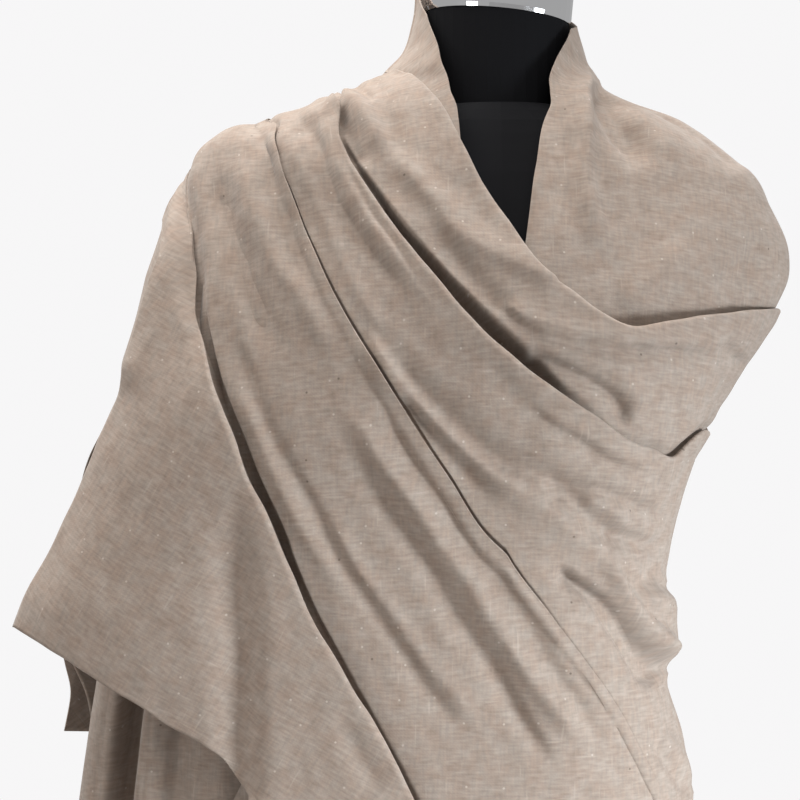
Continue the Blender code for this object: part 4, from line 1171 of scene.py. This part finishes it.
# ---- light, camera, floor
studio = {
    "floorRadius": 3.2, "floorColour": (0.45, 0.45, 0.455), "floorRoughness": 0.9,
    "skySeen": (0.930, 0.925, 0.930), "skyLight": 0.42,
    "lamps": (
        # name, place, aim, size, watts, spread, colour
        ("overheadBox", (-0.55, 0.10, 3.0), (-0.1, 0.0, 1.3), 1.4, 78.0, 180, (1.0, 0.985, 0.96)),
        ("frontBox", (0.5, -1.8, 2.8), (0.0, 0.0, 1.10), 1.3, 14.0, 180, (1.0, 0.97, 0.93)),
        ("rightBox", (1.7, -1.0, 0.62), (0.1, 0.0, 0.83), 0.7, 6.0, 45, (0.88, 0.95, 1.0)),
        ("leftBox", (-1.6, -1.4, 0.45), (-0.3, 0.0, 0.85), 0.8, 10.0, 180, (1.0, 0.97, 0.93)),
    ),
}


def makeSky():
    # one brightness where the camera sees it, another as a light
    world = bpy.data.worlds.new("studioSky")
    bpy.context.scene.world = world
    world.use_nodes = True
    nodes, links = world.node_tree.nodes, world.node_tree.links
    background = nodes["Background"]
    background.inputs["Color"].default_value = (*studio["skySeen"], 1.0)
    lit = nodes.new("ShaderNodeBackground")
    lit.inputs["Color"].default_value = (1.0, 1.0, 1.0, 1.0)
    lit.inputs["Strength"].default_value = studio["skyLight"]
    path = nodes.new("ShaderNodeLightPath")
    blend = nodes.new("ShaderNodeMixShader")
    links.new(path.outputs["Is Camera Ray"], blend.inputs["Fac"])
    links.new(lit.outputs["Background"], blend.inputs[1])
    links.new(background.outputs["Background"], blend.inputs[2])
    links.new(blend.outputs["Shader"], nodes["World Output"].inputs["Surface"])


def makeLamps():
    for name, place, aim, size, watts, spread, colour in studio["lamps"]:
        lamp = bpy.data.lights.new(name, "AREA")
        lamp.energy, lamp.size, lamp.color = watts, size, colour
        lamp.spread = math.radians(spread)
        holder = putObject(name, lamp)
        holder.location = place
        holder.rotation_euler = (Vector(aim) - Vector(place)).to_track_quat("-Z", "Y").to_euler()


def makeFloor():
    work = bmesh.new()
    bmesh.ops.create_circle(work, cap_ends=True, segments=96, radius=studio["floorRadius"])
    mesh = bpy.data.meshes.new("paleFloor")
    work.to_mesh(mesh)
    work.free()
    floor = putObject("paleFloor", mesh)
    paint = plainMaterial("paleFloorPaint", studio["floorColour"], studio["floorRoughness"])
    mesh.materials.append(paint)


def makeCamera():
    camera = bpy.data.cameras.new("camera")
    camera.lens = view["lensMm"]
    camera.sensor_width = view["frameWidth"] / -view["eye"][1] * view["lensMm"]
    holder = putObject("camera", camera)
    holder.location = view["eye"]
    holder.rotation_euler = (math.radians(90), 0.0, 0.0)
    bpy.context.scene.camera = holder
    bpy.context.scene.view_settings.view_transform = "Standard"


def makeStudio():
    makeSky()
    makeLamps()
    makeFloor()
    makeCamera()
    print("studio made")


makeStudio()
coverForm()
shawlWool = makeWool("shawlWool", makeWeaveGroup())
pieces = makeCloth()
# nodes it stands for, the cut of what shows (width, length, area in m), what it lies on
stands = {
    "lower": (("wrap_lower",), (0.19, 1.15, 0.204), ("wrapMiddle", "firstLayer", "underEnd")),
    "middle": (("wrap_middle",), (0.18, 1.20, 0.192), ("wrapUpper", "firstLayer", "form_torso")),
    "upper": (("wrap_upper",), (0.16, 1.15, 0.161), ("firstLayer", "form_torso")),
    "throw": (("throw_panel", "throw_back"), (0.34, 0.95, 0.112), ("wrapLower", "underEnd")),
    "first": (("neck_strip", "back_fall", "shoulder_layer"), (0.66, 0.78, 0.482),
              ("form_neck", "form_torso")),
    "under": (("under_end",), (0.36, 0.60, 0.196), ("form_torso",)),
}
for key, piece in pieces.items():
    piece.data.materials.append(shawlWool)
    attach(piece, "root")
    nodes, (width, length, area), below = stands[key]
    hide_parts(*nodes)
    print(key, "faces", len(piece.data.polygons))
